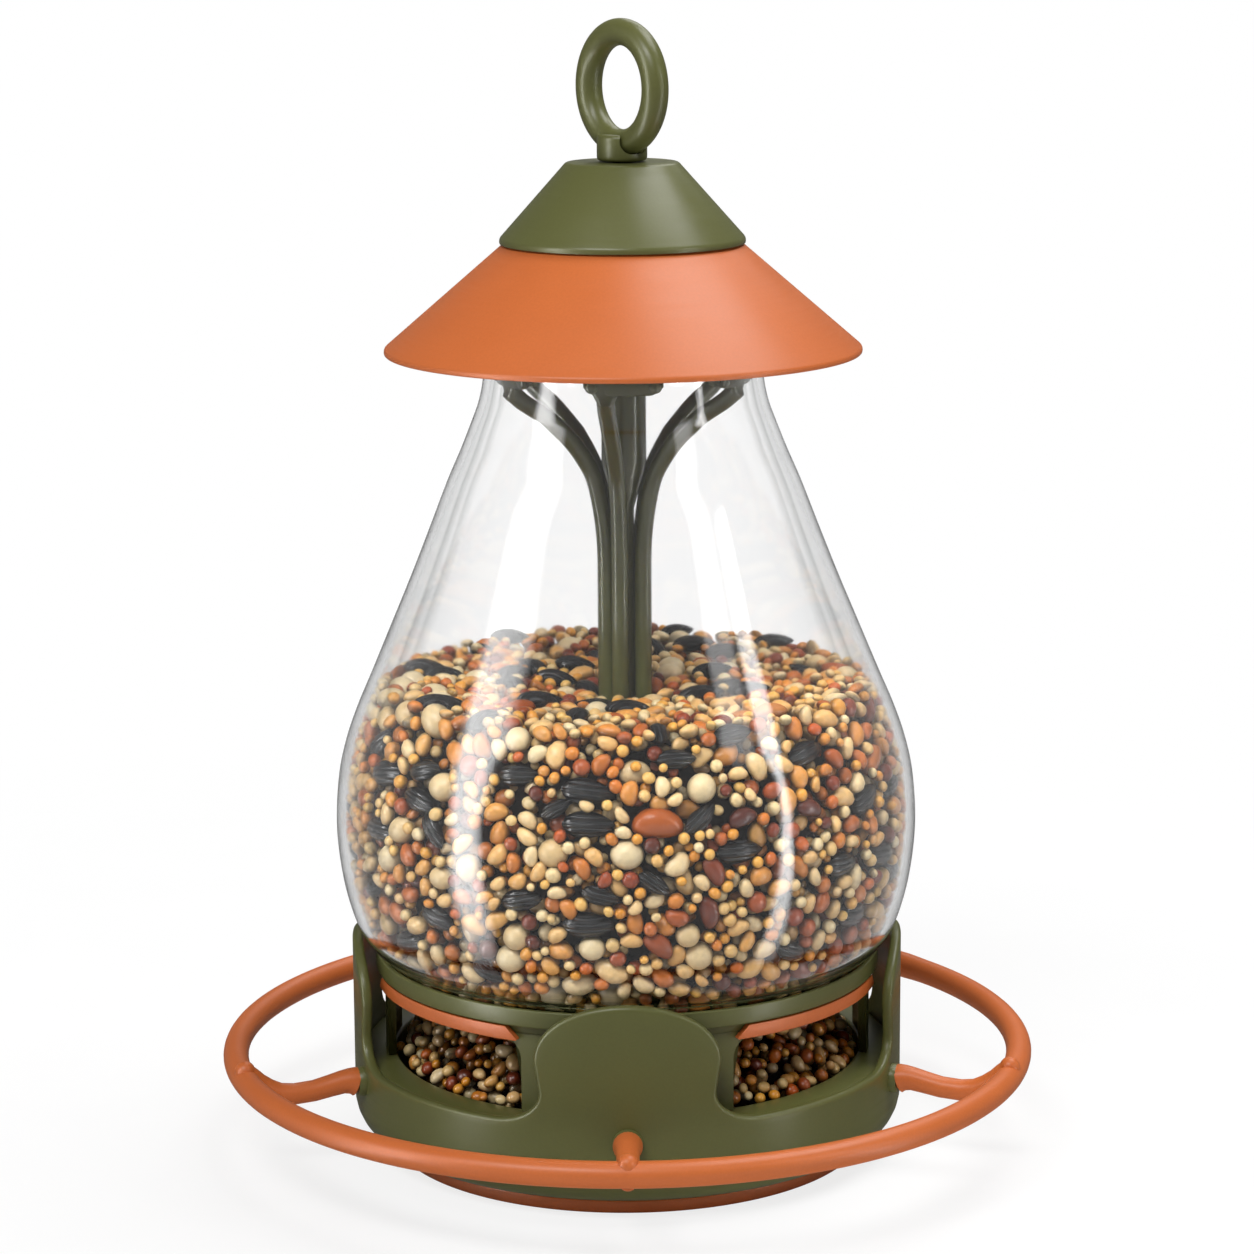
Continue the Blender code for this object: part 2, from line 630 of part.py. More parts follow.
def make_hopper_seat(green):
    """Collar, funnel and skirt with the four feeding ports."""
    funnel_foot = SEAT_SKIRT_INNER_RADIUS - SEAT_SKIRT_WALL / 2
    seat = turned("hopper_seat", [
        (COLLAR_RADIUS, SEAT_TOP),
        (COLLAR_RADIUS, COLLAR_BOTTOM),
        (SEAT_SKIRT_RADIUS, COLLAR_BOTTOM),
        (SEAT_SKIRT_RADIUS, SEAT_BOTTOM),
        (SEAT_SKIRT_INNER_RADIUS, SEAT_BOTTOM),
        (SEAT_SKIRT_INNER_RADIUS, COLLAR_BOTTOM),
        (funnel_foot, COLLAR_BOTTOM),
        (FUNNEL_RADIUS, COLLAR_BOTTOM - FUNNEL_DROP),
        (FUNNEL_RADIUS, COLLAR_BOTTOM - FUNNEL_DROP + FUNNEL_WALL),
        (funnel_foot, GROOVE_FLOOR),
        (COLLAR_RADIUS - COLLAR_LIP, GROOVE_FLOOR),
        (COLLAR_RADIUS - COLLAR_LIP, SEAT_TOP),
    ], green)
    for azimuth in PORT_AZIMUTHS:
        cut(seat, arc_block("port_cutter", port_rows(), SEAT_SKIRT_INNER_RADIUS - SEAT_SKIRT_WALL / 4,
                            SEAT_SKIRT_RADIUS + SEAT_SKIRT_WALL / 4, azimuth, 8))


def make_port_hoods(orange):
    """Curved strips under the collar, one over each feeding port."""
    inner = SEAT_SKIRT_RADIUS + CLEARANCE
    top = COLLAR_BOTTOM - CLEARANCE
    rows = [(top - HOOD_HEIGHT, HOOD_HALF_ANGLE), (top, HOOD_HALF_ANGLE - HOOD_MITRE_ANGLE)]
    for index, azimuth in enumerate(PORT_AZIMUTHS):
        arc_block(f"port_hood_{index + 1}", rows, inner, inner + HOOD_THICKNESS, azimuth, 8, orange)


def make_hopper(clear):
    """Clear blown shell, open at the neck and at the foot."""
    outer = hopper_outline()
    turned("hopper", outer + inset(outer, HOPPER_WALL)[::-1], clear)


def make_neck_ring(green):
    """Ring on the hopper's rim, with a tab behind the foot of each arm."""
    ring = turned("neck_ring", [
        (NECK_FLANGE_RADIUS, NECK_RING_TOP),
        (NECK_FLANGE_RADIUS, NECK_RING_BOTTOM),
        (TAB_OUTER_RADIUS, NECK_RING_BOTTOM),
        (TAB_OUTER_RADIUS, TAB_BOTTOM),
        (TAB_INNER_RADIUS, TAB_BOTTOM),
        (TAB_INNER_RADIUS, NECK_RING_TOP),
    ], green)
    azimuths = ARM_AZIMUTHS + (ARM_AZIMUTHS[0] + 360,)
    for here, after in zip(azimuths, azimuths[1:]):
        rows = [(TAB_BOTTOM - OVERRUN, (after - here) / 2 - TAB_HALF_ANGLE),
                (NECK_RING_BOTTOM, (after - here) / 2 - TAB_HALF_ANGLE)]
        cut(ring, arc_block("tab_gap", rows, TAB_INNER_RADIUS - FOOT_THICKNESS / 2,
                            TAB_OUTER_RADIUS + FOOT_THICKNESS / 2, (here + after) / 2, 6))
    for azimuth in ARM_AZIMUTHS:
        cut(ring, arm_bar("arm_notch", azimuth, CLEARANCE))
        for side in (-1, 1):
            cut(ring, rivet_hole(azimuth + side * RIVET_SPREAD_ANGLE))


def rivet_hole(azimuth):
    """Hole for a rivet through a foot and the tab behind it."""
    profile = rod_profile(RIVET_RADIUS + CLEARANCE, TAB_INNER_RADIUS - OVERRUN, FOOT_OUTER_RADIUS + OVERRUN)
    return radial_pin("rivet_hole", profile, azimuth, RIVET_Z, steps=RIVET_STEPS)


def arm_bar(name, azimuth, extra=0.0, material=None):
    """The round bar of an arm: straight in the bundle, then flared to the neck."""
    flare_top = FOOT_BOTTOM + ARM_FOOT_LAP
    flare_bottom = flare_top - ARM_FLARE_HEIGHT
    reach = FOOT_OUTER_RADIUS - ARM_RADIUS - CLEARANCE / 3 - ARM_BUNDLE_RADIUS
    points = [polar(ARM_BUNDLE_RADIUS, azimuth, BOWL_FLOOR_TOP + CLEARANCE)]
    for rise, out in ARM_FLARE_SHARES:
        points.append(polar(ARM_BUNDLE_RADIUS + reach * out, azimuth, flare_bottom + ARM_FLARE_HEIGHT * rise))
    if extra:
        points[-1] = polar(ARM_BUNDLE_RADIUS + reach, azimuth, flare_top + extra)
    return tube(name, points, [ARM_RADIUS + extra] * len(points), material, 1)


def make_arms(green):
    """Six arms, each a bar whose curved foot is riveted to a tab of the neck ring."""
    for index, azimuth in enumerate(ARM_AZIMUTHS):
        arm = arm_bar(f"arm_{index + 1}", azimuth, material=green)
        rows = [(FOOT_BOTTOM + FOOT_HEIGHT * rise, FOOT_HALF_ANGLE * share) for rise, share in FOOT_CORNER_SHARES]
        foot = arc_block("arm_foot", rows, FOOT_INNER_RADIUS, FOOT_OUTER_RADIUS, azimuth, 6)
        join(arm, foot)
        for side in (-1, 1):
            cut(arm, rivet_hole(azimuth + side * RIVET_SPREAD_ANGLE))


def make_rivets(steel):
    """Two rivets through the foot of each arm and the tab behind it."""
    outer, inner = FOOT_OUTER_RADIUS + CLEARANCE, TAB_INNER_RADIUS - CLEARANCE
    profile = [
        (0, outer + RIVET_HEAD_HEIGHT),
        (RIVET_HEAD_RADIUS, outer),
        (RIVET_RADIUS, outer),
        (RIVET_RADIUS, inner),
        (RIVET_HEAD_RADIUS, inner),
        (0, inner - RIVET_HEAD_HEIGHT),
    ]
    number = 0
    for azimuth in ARM_AZIMUTHS:
        for side in (-1, 1):
            number += 1
            radial_pin(f"rivet_{number}", profile, azimuth + side * RIVET_SPREAD_ANGLE, RIVET_Z, steel, RIVET_STEPS)


def make_stem(green, steel):
    """Tie rod from the bottom nut to the threaded end under the cap."""
    post_bottom = STEM_SHOULDER - STEM_POST_LENGTH
    turned("stem_rod", [
        (0, STEM_TOP),
        (STEM_THREAD_RADIUS, STEM_TOP),
        (STEM_THREAD_RADIUS, STEM_SHOULDER),
        (STEM_POST_RADIUS, STEM_SHOULDER),
        (STEM_POST_RADIUS, post_bottom),
        (STEM_ROD_RADIUS, post_bottom - STEM_POST_TAPER),
        (STEM_ROD_RADIUS, STEM_TAIL),
        (0, STEM_TAIL),
    ], green, SMALL_STEPS)
    bore = STEM_ROD_RADIUS + CLEARANCE
    washer_top = PLATE_POCKET_DEPTH - CLEARANCE
    washer_bottom = washer_top - WASHER_THICKNESS
    turned("stem_washer", ring_section(bore, WASHER_RADIUS, washer_bottom, washer_top), steel, SMALL_STEPS)
    nut_top = washer_bottom - CLEARANCE
    hex_nut("stem_nut", bore, NUT_RADIUS, nut_top - NUT_HEIGHT, nut_top, steel)


def hex_nut(name, bore, radius, bottom, top, material):
    """A six-sided nut with a round bore."""
    nut = turned(name, rod_profile(radius, bottom, top), material, 6)
    cut(nut, upright_pin("nut_bore", bore, bottom - OVERRUN, top + OVERRUN, (0, 0)))


def ring_section(inner, outer, bottom, top):
    """Section of a plain ring, down its outer side and up its inner side."""
    return [(outer, top), (outer, bottom), (inner, bottom), (inner, top)]


def make_roof(orange):
    """Cone shell with a flat crown and a skirt that stands on the neck ring."""
    hole = STEM_THREAD_RADIUS + CLEARANCE
    wall_drop = ROOF_WALL * math.hypot(1, ROOF_SLOPE)
    rim_top = ROOF_BOTTOM + ROOF_RIM_HEIGHT
    skirt_inner = ROOF_SKIRT_RADIUS - ROOF_SKIRT_WALL
    skirt_bottom = ROOF_BOTTOM + ROOF_SKIRT_RISE

    def underside(radius):
        return rim_top + (ROOF_RADIUS - radius) * ROOF_SLOPE - wall_drop

    crown_inner = ROOF_CROWN_RADIUS - (wall_drop - ROOF_WALL) / ROOF_SLOPE
    turned("roof", [
        (hole, ROOF_TOP),
        (ROOF_CROWN_RADIUS, ROOF_TOP),
        (ROOF_RADIUS - CLEARANCE, rim_top + CLEARANCE * ROOF_SLOPE),
        (ROOF_RADIUS, rim_top),
        (ROOF_RADIUS, ROOF_BOTTOM + CLEARANCE),
        (ROOF_RADIUS - CLEARANCE, ROOF_BOTTOM),
        (ROOF_RADIUS - ROOF_WALL, ROOF_BOTTOM),
        (ROOF_SKIRT_RADIUS, underside(ROOF_SKIRT_RADIUS)),
        (ROOF_SKIRT_RADIUS, skirt_bottom),
        (skirt_inner, skirt_bottom),
        (skirt_inner, underside(skirt_inner)),
        (crown_inner, ROOF_TOP - ROOF_WALL),
        (hole, ROOF_TOP - ROOF_WALL),
    ], orange)


def make_gasket(rubber):
    """Flat ring between the roof's crown and the cap's socket."""
    bore = STEM_THREAD_RADIUS + CLEARANCE
    turned("cap_gasket", ring_section(bore, GASKET_RADIUS, GASKET_BOTTOM, GASKET_TOP), rubber, 24)


def make_cap(green):
    """Cone cap whose threaded socket screws down on the stem."""
    socket_bottom = GASKET_TOP + CLEARANCE
    socket_outer = CAP_BORE_RADIUS + CAP_SOCKET_WALL
    plate_bottom = CAP_TOP - CAP_TOP_THICKNESS
    bead_top = CAP_BOTTOM + CAP_BEAD_HEIGHT
    rim_inner = CAP_RADIUS - CAP_WALL
    rim_inner_z = CAP_BOTTOM + CAP_WALL * ROOF_SLOPE + CLEARANCE / 2
    slope = (CAP_TOP - bead_top) / (CAP_RADIUS - CAP_TOP_RADIUS)
    inner_drop = CAP_WALL * math.hypot(1, slope)
    inner_top_radius = CAP_RADIUS - (plate_bottom + inner_drop - bead_top) / slope
    shank_hole = SHANK_RADIUS + CLEARANCE
    turned("cap", [
        (shank_hole, CAP_TOP),
        (CAP_TOP_RADIUS - CAP_EDGE_ROUND, CAP_TOP),
        (CAP_TOP_RADIUS + CAP_EDGE_ROUND / 2, CAP_TOP - CAP_EDGE_ROUND),
        (CAP_RADIUS - CAP_EDGE_ROUND / 2, bead_top),
        (CAP_RADIUS, bead_top - CAP_EDGE_ROUND / 2),
        (CAP_RADIUS, CAP_BOTTOM + CAP_EDGE_ROUND / 2),
        (CAP_RADIUS - CAP_EDGE_ROUND / 2, CAP_BOTTOM),
        (rim_inner, rim_inner_z),
        (inner_top_radius, plate_bottom),
        (socket_outer, plate_bottom),
        (socket_outer, socket_bottom),
        (CAP_BORE_RADIUS, socket_bottom),
        (CAP_BORE_RADIUS, plate_bottom),
        (shank_hole, plate_bottom),
    ], green)


def make_swivel(green, steel):
    """Boss that holds the ring; its shank turns in the top of the cap."""
    boss_top = SWIVEL_BOTTOM + SWIVEL_HEIGHT
    boss = turned("swivel_boss", [
        (0, boss_top),
        (SWIVEL_RADIUS - SWIVEL_ROUND, boss_top),
        (SWIVEL_RADIUS - SWIVEL_ROUND * 0.3, boss_top - SWIVEL_ROUND * 0.3),
        (SWIVEL_RADIUS, boss_top - SWIVEL_ROUND),
        (SWIVEL_RADIUS, SWIVEL_BOTTOM),
        (SHANK_RADIUS, SWIVEL_BOTTOM),
        (SHANK_RADIUS, SHANK_BOTTOM),
        (0, SHANK_BOTTOM),
    ], green, 20)
    cut(boss, ring_pocket())
    bore = SHANK_RADIUS + CLEARANCE
    section = ring_section(bore, SWIVEL_NUT_RADIUS, SWIVEL_WASHER_BOTTOM, SWIVEL_WASHER_TOP)
    turned("swivel_washer", section, steel, SMALL_STEPS)
    hex_nut("swivel_nut", bore, SWIVEL_NUT_RADIUS, SWIVEL_NUT_BOTTOM, SWIVEL_NUT_TOP, steel)


def ring_pocket():
    """The room that the ring's tube takes in the boss over its whole swing."""
    radius = RING_TUBE_RADIUS + CLEARANCE
    reach = SWIVEL_RADIUS + RING_TUBE_RADIUS / 2
    solid = bmesh.new()
    sections = []
    for station in range(-4, 5):
        along = reach * station / 4
        lift = RING_RADIUS - math.sqrt(RING_RADIUS ** 2 - along ** 2)
        section = []
        for step in range(18):
            turn = 20 * step - 170
            centre = math.radians(max(-RING_SWING, min(RING_SWING, turn)))
            turn = math.radians(turn)
            aside = lift * math.sin(centre) + radius * math.sin(turn)
            up = lift * math.cos(centre) + radius * math.cos(turn)
            section.append(solid.verts.new((along, aside, up)))
        sections.append(section)
    for near, far in zip(sections, sections[1:]):
        for step in range(18):
            solid.faces.new((near[step - 1], near[step], far[step], far[step - 1]))
    solid.faces.new(sections[0])
    solid.faces.new(sections[-1])
    bmesh.ops.recalc_face_normals(solid, faces=solid.faces)
    mesh = bpy.data.meshes.new("ring_pocket")
    solid.to_mesh(mesh)
    solid.free()
    pocket = add_object("ring_pocket", mesh)
    pocket.rotation_euler = (0, 0, math.radians(-RING_AZIMUTH))
    pocket.location = (0, 0, RING_PIVOT_Z)
    return pocket


def make_hanging_ring(green):
    """Round ring whose lowest part swings in the boss; its origin is on that axis."""
    section = [(RING_RADIUS + RING_TUBE_RADIUS * math.cos(turn), RING_TUBE_RADIUS * math.sin(turn))
               for turn in (-math.tau * step / 10 for step in range(10))]
    ring = turned("hanging_ring", section, green, 32)
    ring.data.transform(Matrix.Translation((0, RING_RADIUS, 0)))
    ring.rotation_euler = (math.radians(90), 0, math.radians(-RING_AZIMUTH))
    ring.location = (0, 0, RING_PIVOT_Z)


def spoke_azimuths():
    """Azimuths of the perch spokes, the first at the front."""
    return [360 / SPOKE_COUNT * index for index in range(SPOKE_COUNT)]


def spoke_bar(name, azimuth, extra=0.0, material=None):
    """The spoke's curved bar, from its flared root to its round knob."""
    root = BASE_WALL_RADIUS + CLEARANCE
    knob = PERCH_RADIUS - SPOKE_KNOB_INSET
    knob_z = PERCH_HEIGHT + SPOKE_KNOB_RISE
    points, radii = [], []
    for reach, dip, flare in SPOKE_SHARES:
        points.append(polar(root + (knob - root) * reach, azimuth, SPOKE_ROOT_HEIGHT - SPOKE_DIP * dip))
        radii.append(SPOKE_RADIUS + (SPOKE_ROOT_RADIUS - SPOKE_RADIUS) * flare + extra)
    last_dip_z = points[-1][2]
    span = (knob - root) * (1 - SPOKE_SHARES[-1][0])
    for turn in (30, 60, 80, 90):
        along = math.sin(math.radians(turn))
        rise = (knob_z - last_dip_z) * (1 - math.cos(math.radians(turn)))
        points.append(polar(knob - span * (1 - along), azimuth, last_dip_z + rise))
        radii.append(SPOKE_RADIUS + extra)
    for share in KNOB_SHARES:
        points.append(polar(knob, azimuth, knob_z + (SPOKE_RADIUS + extra) * share))
        radii.append((SPOKE_RADIUS + extra) * math.sqrt(1 - share * share))
    return tube(name, points, radii, material)


def spoke_pin(name, azimuth, extra=0.0):
    """The pin that goes from the knob down through the ring."""
    centre = polar(PERCH_RADIUS - SPOKE_KNOB_INSET / 2, azimuth, 0)[:2]
    bottom = PERCH_HEIGHT - PERCH_TUBE_RADIUS - SPOKE_PIN_REACH
    return upright_pin(name, SPOKE_PIN_RADIUS + extra, bottom - extra, PERCH_HEIGHT + SPOKE_KNOB_RISE, centre, 12)


def make_perch(orange):
    """Perch ring, cut for the knobs and pins of its spokes, and the spokes."""
    step = 360 / PERCH_POINTS
    collar = round(PERCH_COLLAR_AZIMUTH / step)
    points = [polar(PERCH_RADIUS, step * (index + 0.5), PERCH_HEIGHT) for index in range(PERCH_POINTS)]
    swell = [PERCH_COLLAR_SWELL_SHARE if index == collar else 1.0 for index in range(PERCH_POINTS)]
    ring = closed_tube("perch_ring", points, PERCH_TUBE_RADIUS, swell, orange)
    for index, azimuth in enumerate(spoke_azimuths()):
        cut(ring, spoke_bar("knob_cutter", azimuth, CLEARANCE), spoke_pin("pin_cutter", azimuth, CLEARANCE))
        spoke = spoke_bar(f"perch_spoke_{index + 1}", azimuth, material=orange)
        plug_start = BASE_WALL_RADIUS - SPOKE_PLUG_LENGTH
        plug = radial_pin("spoke_plug", rod_profile(SPOKE_PLUG_RADIUS, plug_start, BASE_WALL_RADIUS + SPOKE_RADIUS),
                          azimuth, SPOKE_ROOT_HEIGHT, steps=12)
        join(spoke, plug, spoke_pin("spoke_pin", azimuth))


def closed_tube(name, points, radius, swell, material):
    """A closed ring of tube through the points, swollen by a share at each."""
    curve = bpy.data.curves.new(name, "CURVE")
    curve.dimensions = "3D"
    curve.bevel_depth = radius
    curve.bevel_resolution = 2
    spline = curve.splines.new("POLY")
    spline.points.add(len(points) - 1)
    spline.use_cyclic_u = True
    for node, point, share in zip(spline.points, points, swell):
        node.co = (*point, 1.0)
        node.radius = share
    blank = bpy.data.objects.new(name, curve)
    bpy.context.scene.collection.objects.link(blank)
    mesh = baked(blank)
    solid = bmesh.new()
    solid.from_mesh(mesh)
    bmesh.ops.recalc_face_normals(solid, faces=solid.faces)
    solid.to_mesh(mesh)
    solid.free()
    return add_object(name, mesh, material)


def spaced(points, step):
    """The outline with points added, so that none are further apart than the step."""
    dense = [points[0]]
    for (r1, z1), (r2, z2) in zip(points, points[1:]):
        parts = math.ceil(math.hypot(r2 - r1, z2 - z1) / step)
        dense += [(r1 + (r2 - r1) * part / parts, z1 + (z2 - z1) * part / parts) for part in range(1, parts + 1)]
    return dense


def roughen(obj, loose):
    """Press hollows between lumps of seed into the part, at random along and round its loose outline points."""
    dice = random.Random(SEED_SHUFFLE)
    near = CLEARANCE / 10
    for vertex, outward in [(vertex, vertex.normal.copy()) for vertex in obj.data.vertices]:
        radius = math.hypot(vertex.co.x, vertex.co.y)
        if any(abs(radius - r) < near and abs(vertex.co.z - z) < near for r, z in loose):
            share = SEED_HOLLOW_DEPTH_SHARE if dice.random() < SEED_HOLLOW_SHARE else SEED_LUMP_DEPTH_SHARE
            vertex.co -= outward * SEED_RELIEF * share * dice.uniform(SEED_EVEN_SHARE, 1)


def make_seed(grain):
    """The seed as one body: the hopper's fill, through the funnel, to the bowl."""
    top = HOPPER_BOTTOM + SEED_TOP_HEIGHT
    lining = inset(hopper_outline(), HOPPER_WALL + SEED_GAP)
    filled = [point for point in lining if HOPPER_BOTTOM + HOPPER_FOOT_HEIGHT < point[1] < top]
    above = [point for point in lining if point[1] >= top][-1]
    below = filled[0]
    share = (above[1] - top) / (above[1] - below[1])
    rim = above[0] + (below[0] - above[0]) * share
    bore = SOCKET_RADIUS + SEED_GAP
    funnel_foot = SEAT_SKIRT_INNER_RADIUS - SEAT_SKIRT_WALL / 2
    funnel_top = COLLAR_BOTTOM - FUNNEL_DROP + FUNNEL_WALL
    socket_outer = SOCKET_RADIUS + SOCKET_WALL + SEED_GAP
    socket_top = BOWL_FLOOR_TOP + SOCKET_HEIGHT + SEED_GAP
    heap_top = (FUNNEL_RADIUS - SEED_GAP, funnel_top - FUNNEL_WALL - SEED_PILE_DROP)
    crown = spaced([(bore, top - SEED_CROWN_DROP), (rim, top)], SEED_LUMP)
    side = spaced([(rim, top), *filled], SEED_LUMP)
    heap = spaced([heap_top, (BOWL_RADIUS - SEED_GAP, LEDGE_HEIGHT + SEED_GAP)], SEED_LUMP)
    seed = turned("seed_fill", [
        *crown,
        *side[1:],
        (funnel_foot - SEED_GAP, GROOVE_FLOOR + SEED_GAP * 2),
        (FUNNEL_RADIUS - SEED_GAP, funnel_top + SEED_GAP * 2),
        *heap,
        (BOWL_RADIUS - SEED_GAP, LEDGE_HEIGHT),
        (BOWL_RADIUS - BOWL_SIDE_RUN - SEED_GAP, BOWL_FLOOR_TOP + SEED_GAP),
        (socket_outer, BOWL_FLOOR_TOP + SEED_GAP),
        (socket_outer, socket_top),
        (bore, socket_top),
    ], grain, SEED_STEPS)
    roughen(seed, crown[1:] + side[1:-1] + heap[1:-1])


def main():
    """Build every piece of the feeder."""
    clear_scene()
    green = surface("olive_plastic", (0.105, 0.110, 0.045), 0.38)
    orange = surface("terracotta_plastic", (0.560, 0.150, 0.040), 0.36)
    clear = surface("clear_plastic", (0.90, 0.92, 0.92), 0.05, alpha=0.3)
    steel = surface("zinc_steel", (0.55, 0.55, 0.53), 0.30, metallic=1.0)
    rubber = surface("black_rubber", (0.03, 0.03, 0.03), 0.80)
    grain = surface("mixed_seed", (0.52, 0.33, 0.15), 0.70)
    make_bottom_plate(orange)
    make_base_screws(steel)
    make_base_body(green)
    make_hopper_seat(green)
    make_port_hoods(orange)
    make_hopper(clear)
    make_neck_ring(green)
    make_arms(green)
    make_rivets(steel)
    make_stem(green, steel)
    make_roof(orange)
    make_gasket(rubber)
    make_cap(green)
    make_swivel(green, steel)
    make_hanging_ring(green)
    make_perch(orange)
    make_seed(grain)


main()
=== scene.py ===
"""Finished look of a hanging bird feeder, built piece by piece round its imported
model. Lengths are written in millimetres and made metres where a mesh is made.
Azimuths are in degrees from the front (-Y) towards +X.
"""

import random
from functools import partial
from itertools import product
from math import cos, exp, hypot, pi, radians, sin, sqrt, tau

import bmesh
import bpy
from mathutils import Matrix, Vector


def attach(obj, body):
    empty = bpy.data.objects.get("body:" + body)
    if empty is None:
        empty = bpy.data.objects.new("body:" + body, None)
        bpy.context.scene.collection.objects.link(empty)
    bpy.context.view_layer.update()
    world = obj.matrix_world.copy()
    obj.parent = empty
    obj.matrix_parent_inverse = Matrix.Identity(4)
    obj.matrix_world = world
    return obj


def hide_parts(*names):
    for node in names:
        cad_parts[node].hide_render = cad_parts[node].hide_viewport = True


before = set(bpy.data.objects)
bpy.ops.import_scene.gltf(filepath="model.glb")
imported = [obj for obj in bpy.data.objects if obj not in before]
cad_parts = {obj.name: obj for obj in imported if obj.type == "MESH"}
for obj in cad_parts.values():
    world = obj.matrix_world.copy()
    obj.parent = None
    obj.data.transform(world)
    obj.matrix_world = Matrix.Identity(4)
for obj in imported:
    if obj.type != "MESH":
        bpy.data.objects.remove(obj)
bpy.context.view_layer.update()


# Bottom plate: the flat orange disc that closes the base from below. It is
# injection-moulded polypropylene, held by four screws that sit in round
# recesses, with a deeper pocket in the middle for the stem's nut.

MM = 0.001


def linear(code):
    """An sRGB hex colour as a linear RGBA colour."""
    channels = [int(code[start:start + 2], 16) / 255 for start in (1, 3, 5)]
    return (*[c / 12.92 if c <= 0.04045 else ((c + 0.055) / 1.055) ** 2.4 for c in channels], 1)


def add_node(tree, kind, links=(), stops=(), **settings):
    """Add a node: settings are its own properties, links are its inputs by name or
    number, or in their order. A link may be a value, a socket, or a node, which
    stands for its first output. Stops are the places and colours of a ramp.
    """
    node = tree.nodes.new("ShaderNode" + kind)
    for name, value in settings.items():
        setattr(node, name, value)
    for name, value in links.items() if isinstance(links, dict) else enumerate(links):
        if isinstance(value, bpy.types.Node):
            value = value.outputs[0]
        if isinstance(value, bpy.types.NodeSocket):
            tree.links.new(value, node.inputs[name])
        else:
            node.inputs[name].default_value = value
    for index, (place, colour) in enumerate(stops):
        ramp = node.color_ramp.elements
        stop = ramp[index] if index < len(ramp) else ramp.new(place)
        stop.position, stop.color = place, linear(colour)
    return node


def new_material(name):
    """An empty material, the function that adds its nodes, and where a point lies on the piece."""
    material = bpy.data.materials.new(name)
    material.use_nodes = True
    material.node_tree.nodes.clear()
    node = partial(add_node, material.node_tree)
    return material, node, node("TexCoord").outputs["Object"]


def surfaced(material, shader):
    """The material, with the shader as its surface."""
    add_node(material.node_tree, "OutputMaterial", {"Surface": shader})
    return material


def moulded_plastic(name, face, deep, roughness):
    """Moulded polypropylene: satin, faintly clouded, with the mould's spark grain
    and the flow lines that run round the piece."""
    material, node, where = new_material(name)
    # The pigment clouds over about 25 mm, far softer than the grain
    cloud = node("TexNoise", {"Vector": where, "Scale": 1 / (25 * MM), "Detail": 3})
    # Grain pits are 0.1 mm on the real piece; drawn 0.6 mm wide so that they show
    pits = node("TexNoise", {"Vector": where, "Scale": 1 / (0.6 * MM), "Roughness": 0.6})
    # Flow lines lie level round the piece, about half a millimetre apart
    level = node("Mapping", {"Vector": where, "Scale": (0.04, 0.04, 1)})
    flow = node("TexNoise", {"Vector": level, "Scale": 1 / (0.9 * MM), "Detail": 3, "Roughness": 0.7})
    colour = node("ValToRGB", (cloud,), stops=((0.3, deep), (0.7, face)))
    fleck = node("MapRange", (pits, 0.3, 0.7, 0.97, 1.03))
    scaled = node("VectorMath", {0: colour, "Scale": fleck}, operation="SCALE")
    gloss = node("MapRange", (flow, 0.3, 0.7, roughness - 0.03, roughness + 0.05))
    relief = node("Bump", {"Height": pits, "Strength": 0.35, "Distance": 0.02 * MM})
    ripple = node("Bump", {"Height": flow, "Strength": 0.25, "Distance": 0.02 * MM, "Normal": relief})
    shader = node("BsdfPrincipled", {"Base Color": scaled, "Roughness": gloss, "Normal": ripple, "IOR": 1.49,
                                     "Specular IOR Level": 0.4})
    return surfaced(material, shader)


def soften(profile, reach, steps=3):
    """Round every corner of a closed (radius, height) outline over a short reach."""
    rounded = []
    for index, corner in enumerate(profile):
        corner = Vector(corner)
        before = Vector(profile[index - 1]) - corner
        after = Vector(profile[(index + 1) % len(profile)]) - corner
        if before.angle(after, pi) > radians(172):
            rounded.append(tuple(corner))
            continue
        near = corner + before.normalized() * min(reach, before.length * 0.45)
        far = corner + after.normalized() * min(reach, after.length * 0.45)
        for step in range(steps + 1):
            t = step / steps
            rounded.append(tuple(near * (1 - t) ** 2 + corner * (2 * t * (1 - t)) + far * t * t))
    return rounded


def add_object(name, data):
    """A new object in the scene."""
    thing = bpy.data.objects.new(name, data)
    bpy.context.scene.collection.objects.link(thing)
    return thing


def make_piece(name, points, faces, material, sharp=40):
    """A mesh object from points in millimetres; its faces are turned to look outwards."""
    mesh = bpy.data.meshes.new(name)
    mesh.from_pydata([(x * MM, y * MM, z * MM) for x, y, z in points], [], faces)
    tidy = bmesh.new()
    tidy.from_mesh(mesh)
    bmesh.ops.recalc_face_normals(tidy, faces=tidy.faces)
    tidy.to_mesh(mesh)
    tidy.free()
    mesh.shade_smooth()
    mesh.set_sharp_from_angle(angle=radians(sharp))
    mesh.materials.append(material)
    return add_object(name, mesh)


def polar(radius, azimuth, height):
    """A point from its radius, azimuth and height."""
    angle = radians(azimuth)
    return (radius * sin(angle), -radius * cos(angle), height)


def ring_faces(rows, columns, close_rows=True, close_columns=True):
    """Quads of a grid whose rows and columns may each close on themselves."""
    faces = []
    for row in range(rows if close_rows else rows - 1):
        for column in range(columns if close_columns else columns - 1):
            below, above = row * columns, (row + 1) % rows * columns
            beside = (column + 1) % columns
            faces.append((below + column, below + beside, above + beside, above + column))
    return faces


def capped_faces(rows, columns):
    """Quads of a tube, with a face at each end."""
    return ring_faces(rows, columns, close_rows=False) + [
        tuple(range(columns)), tuple(range((rows - 1) * columns, rows * columns))]


def turned_shell(profile, steps=144):
    """Points and faces of a closed (radius, height) section turned about the axis."""
    points = [polar(radius, 360 * step / steps, height) for radius, height in profile for step in range(steps)]
    return points, ring_faces(len(profile), steps)


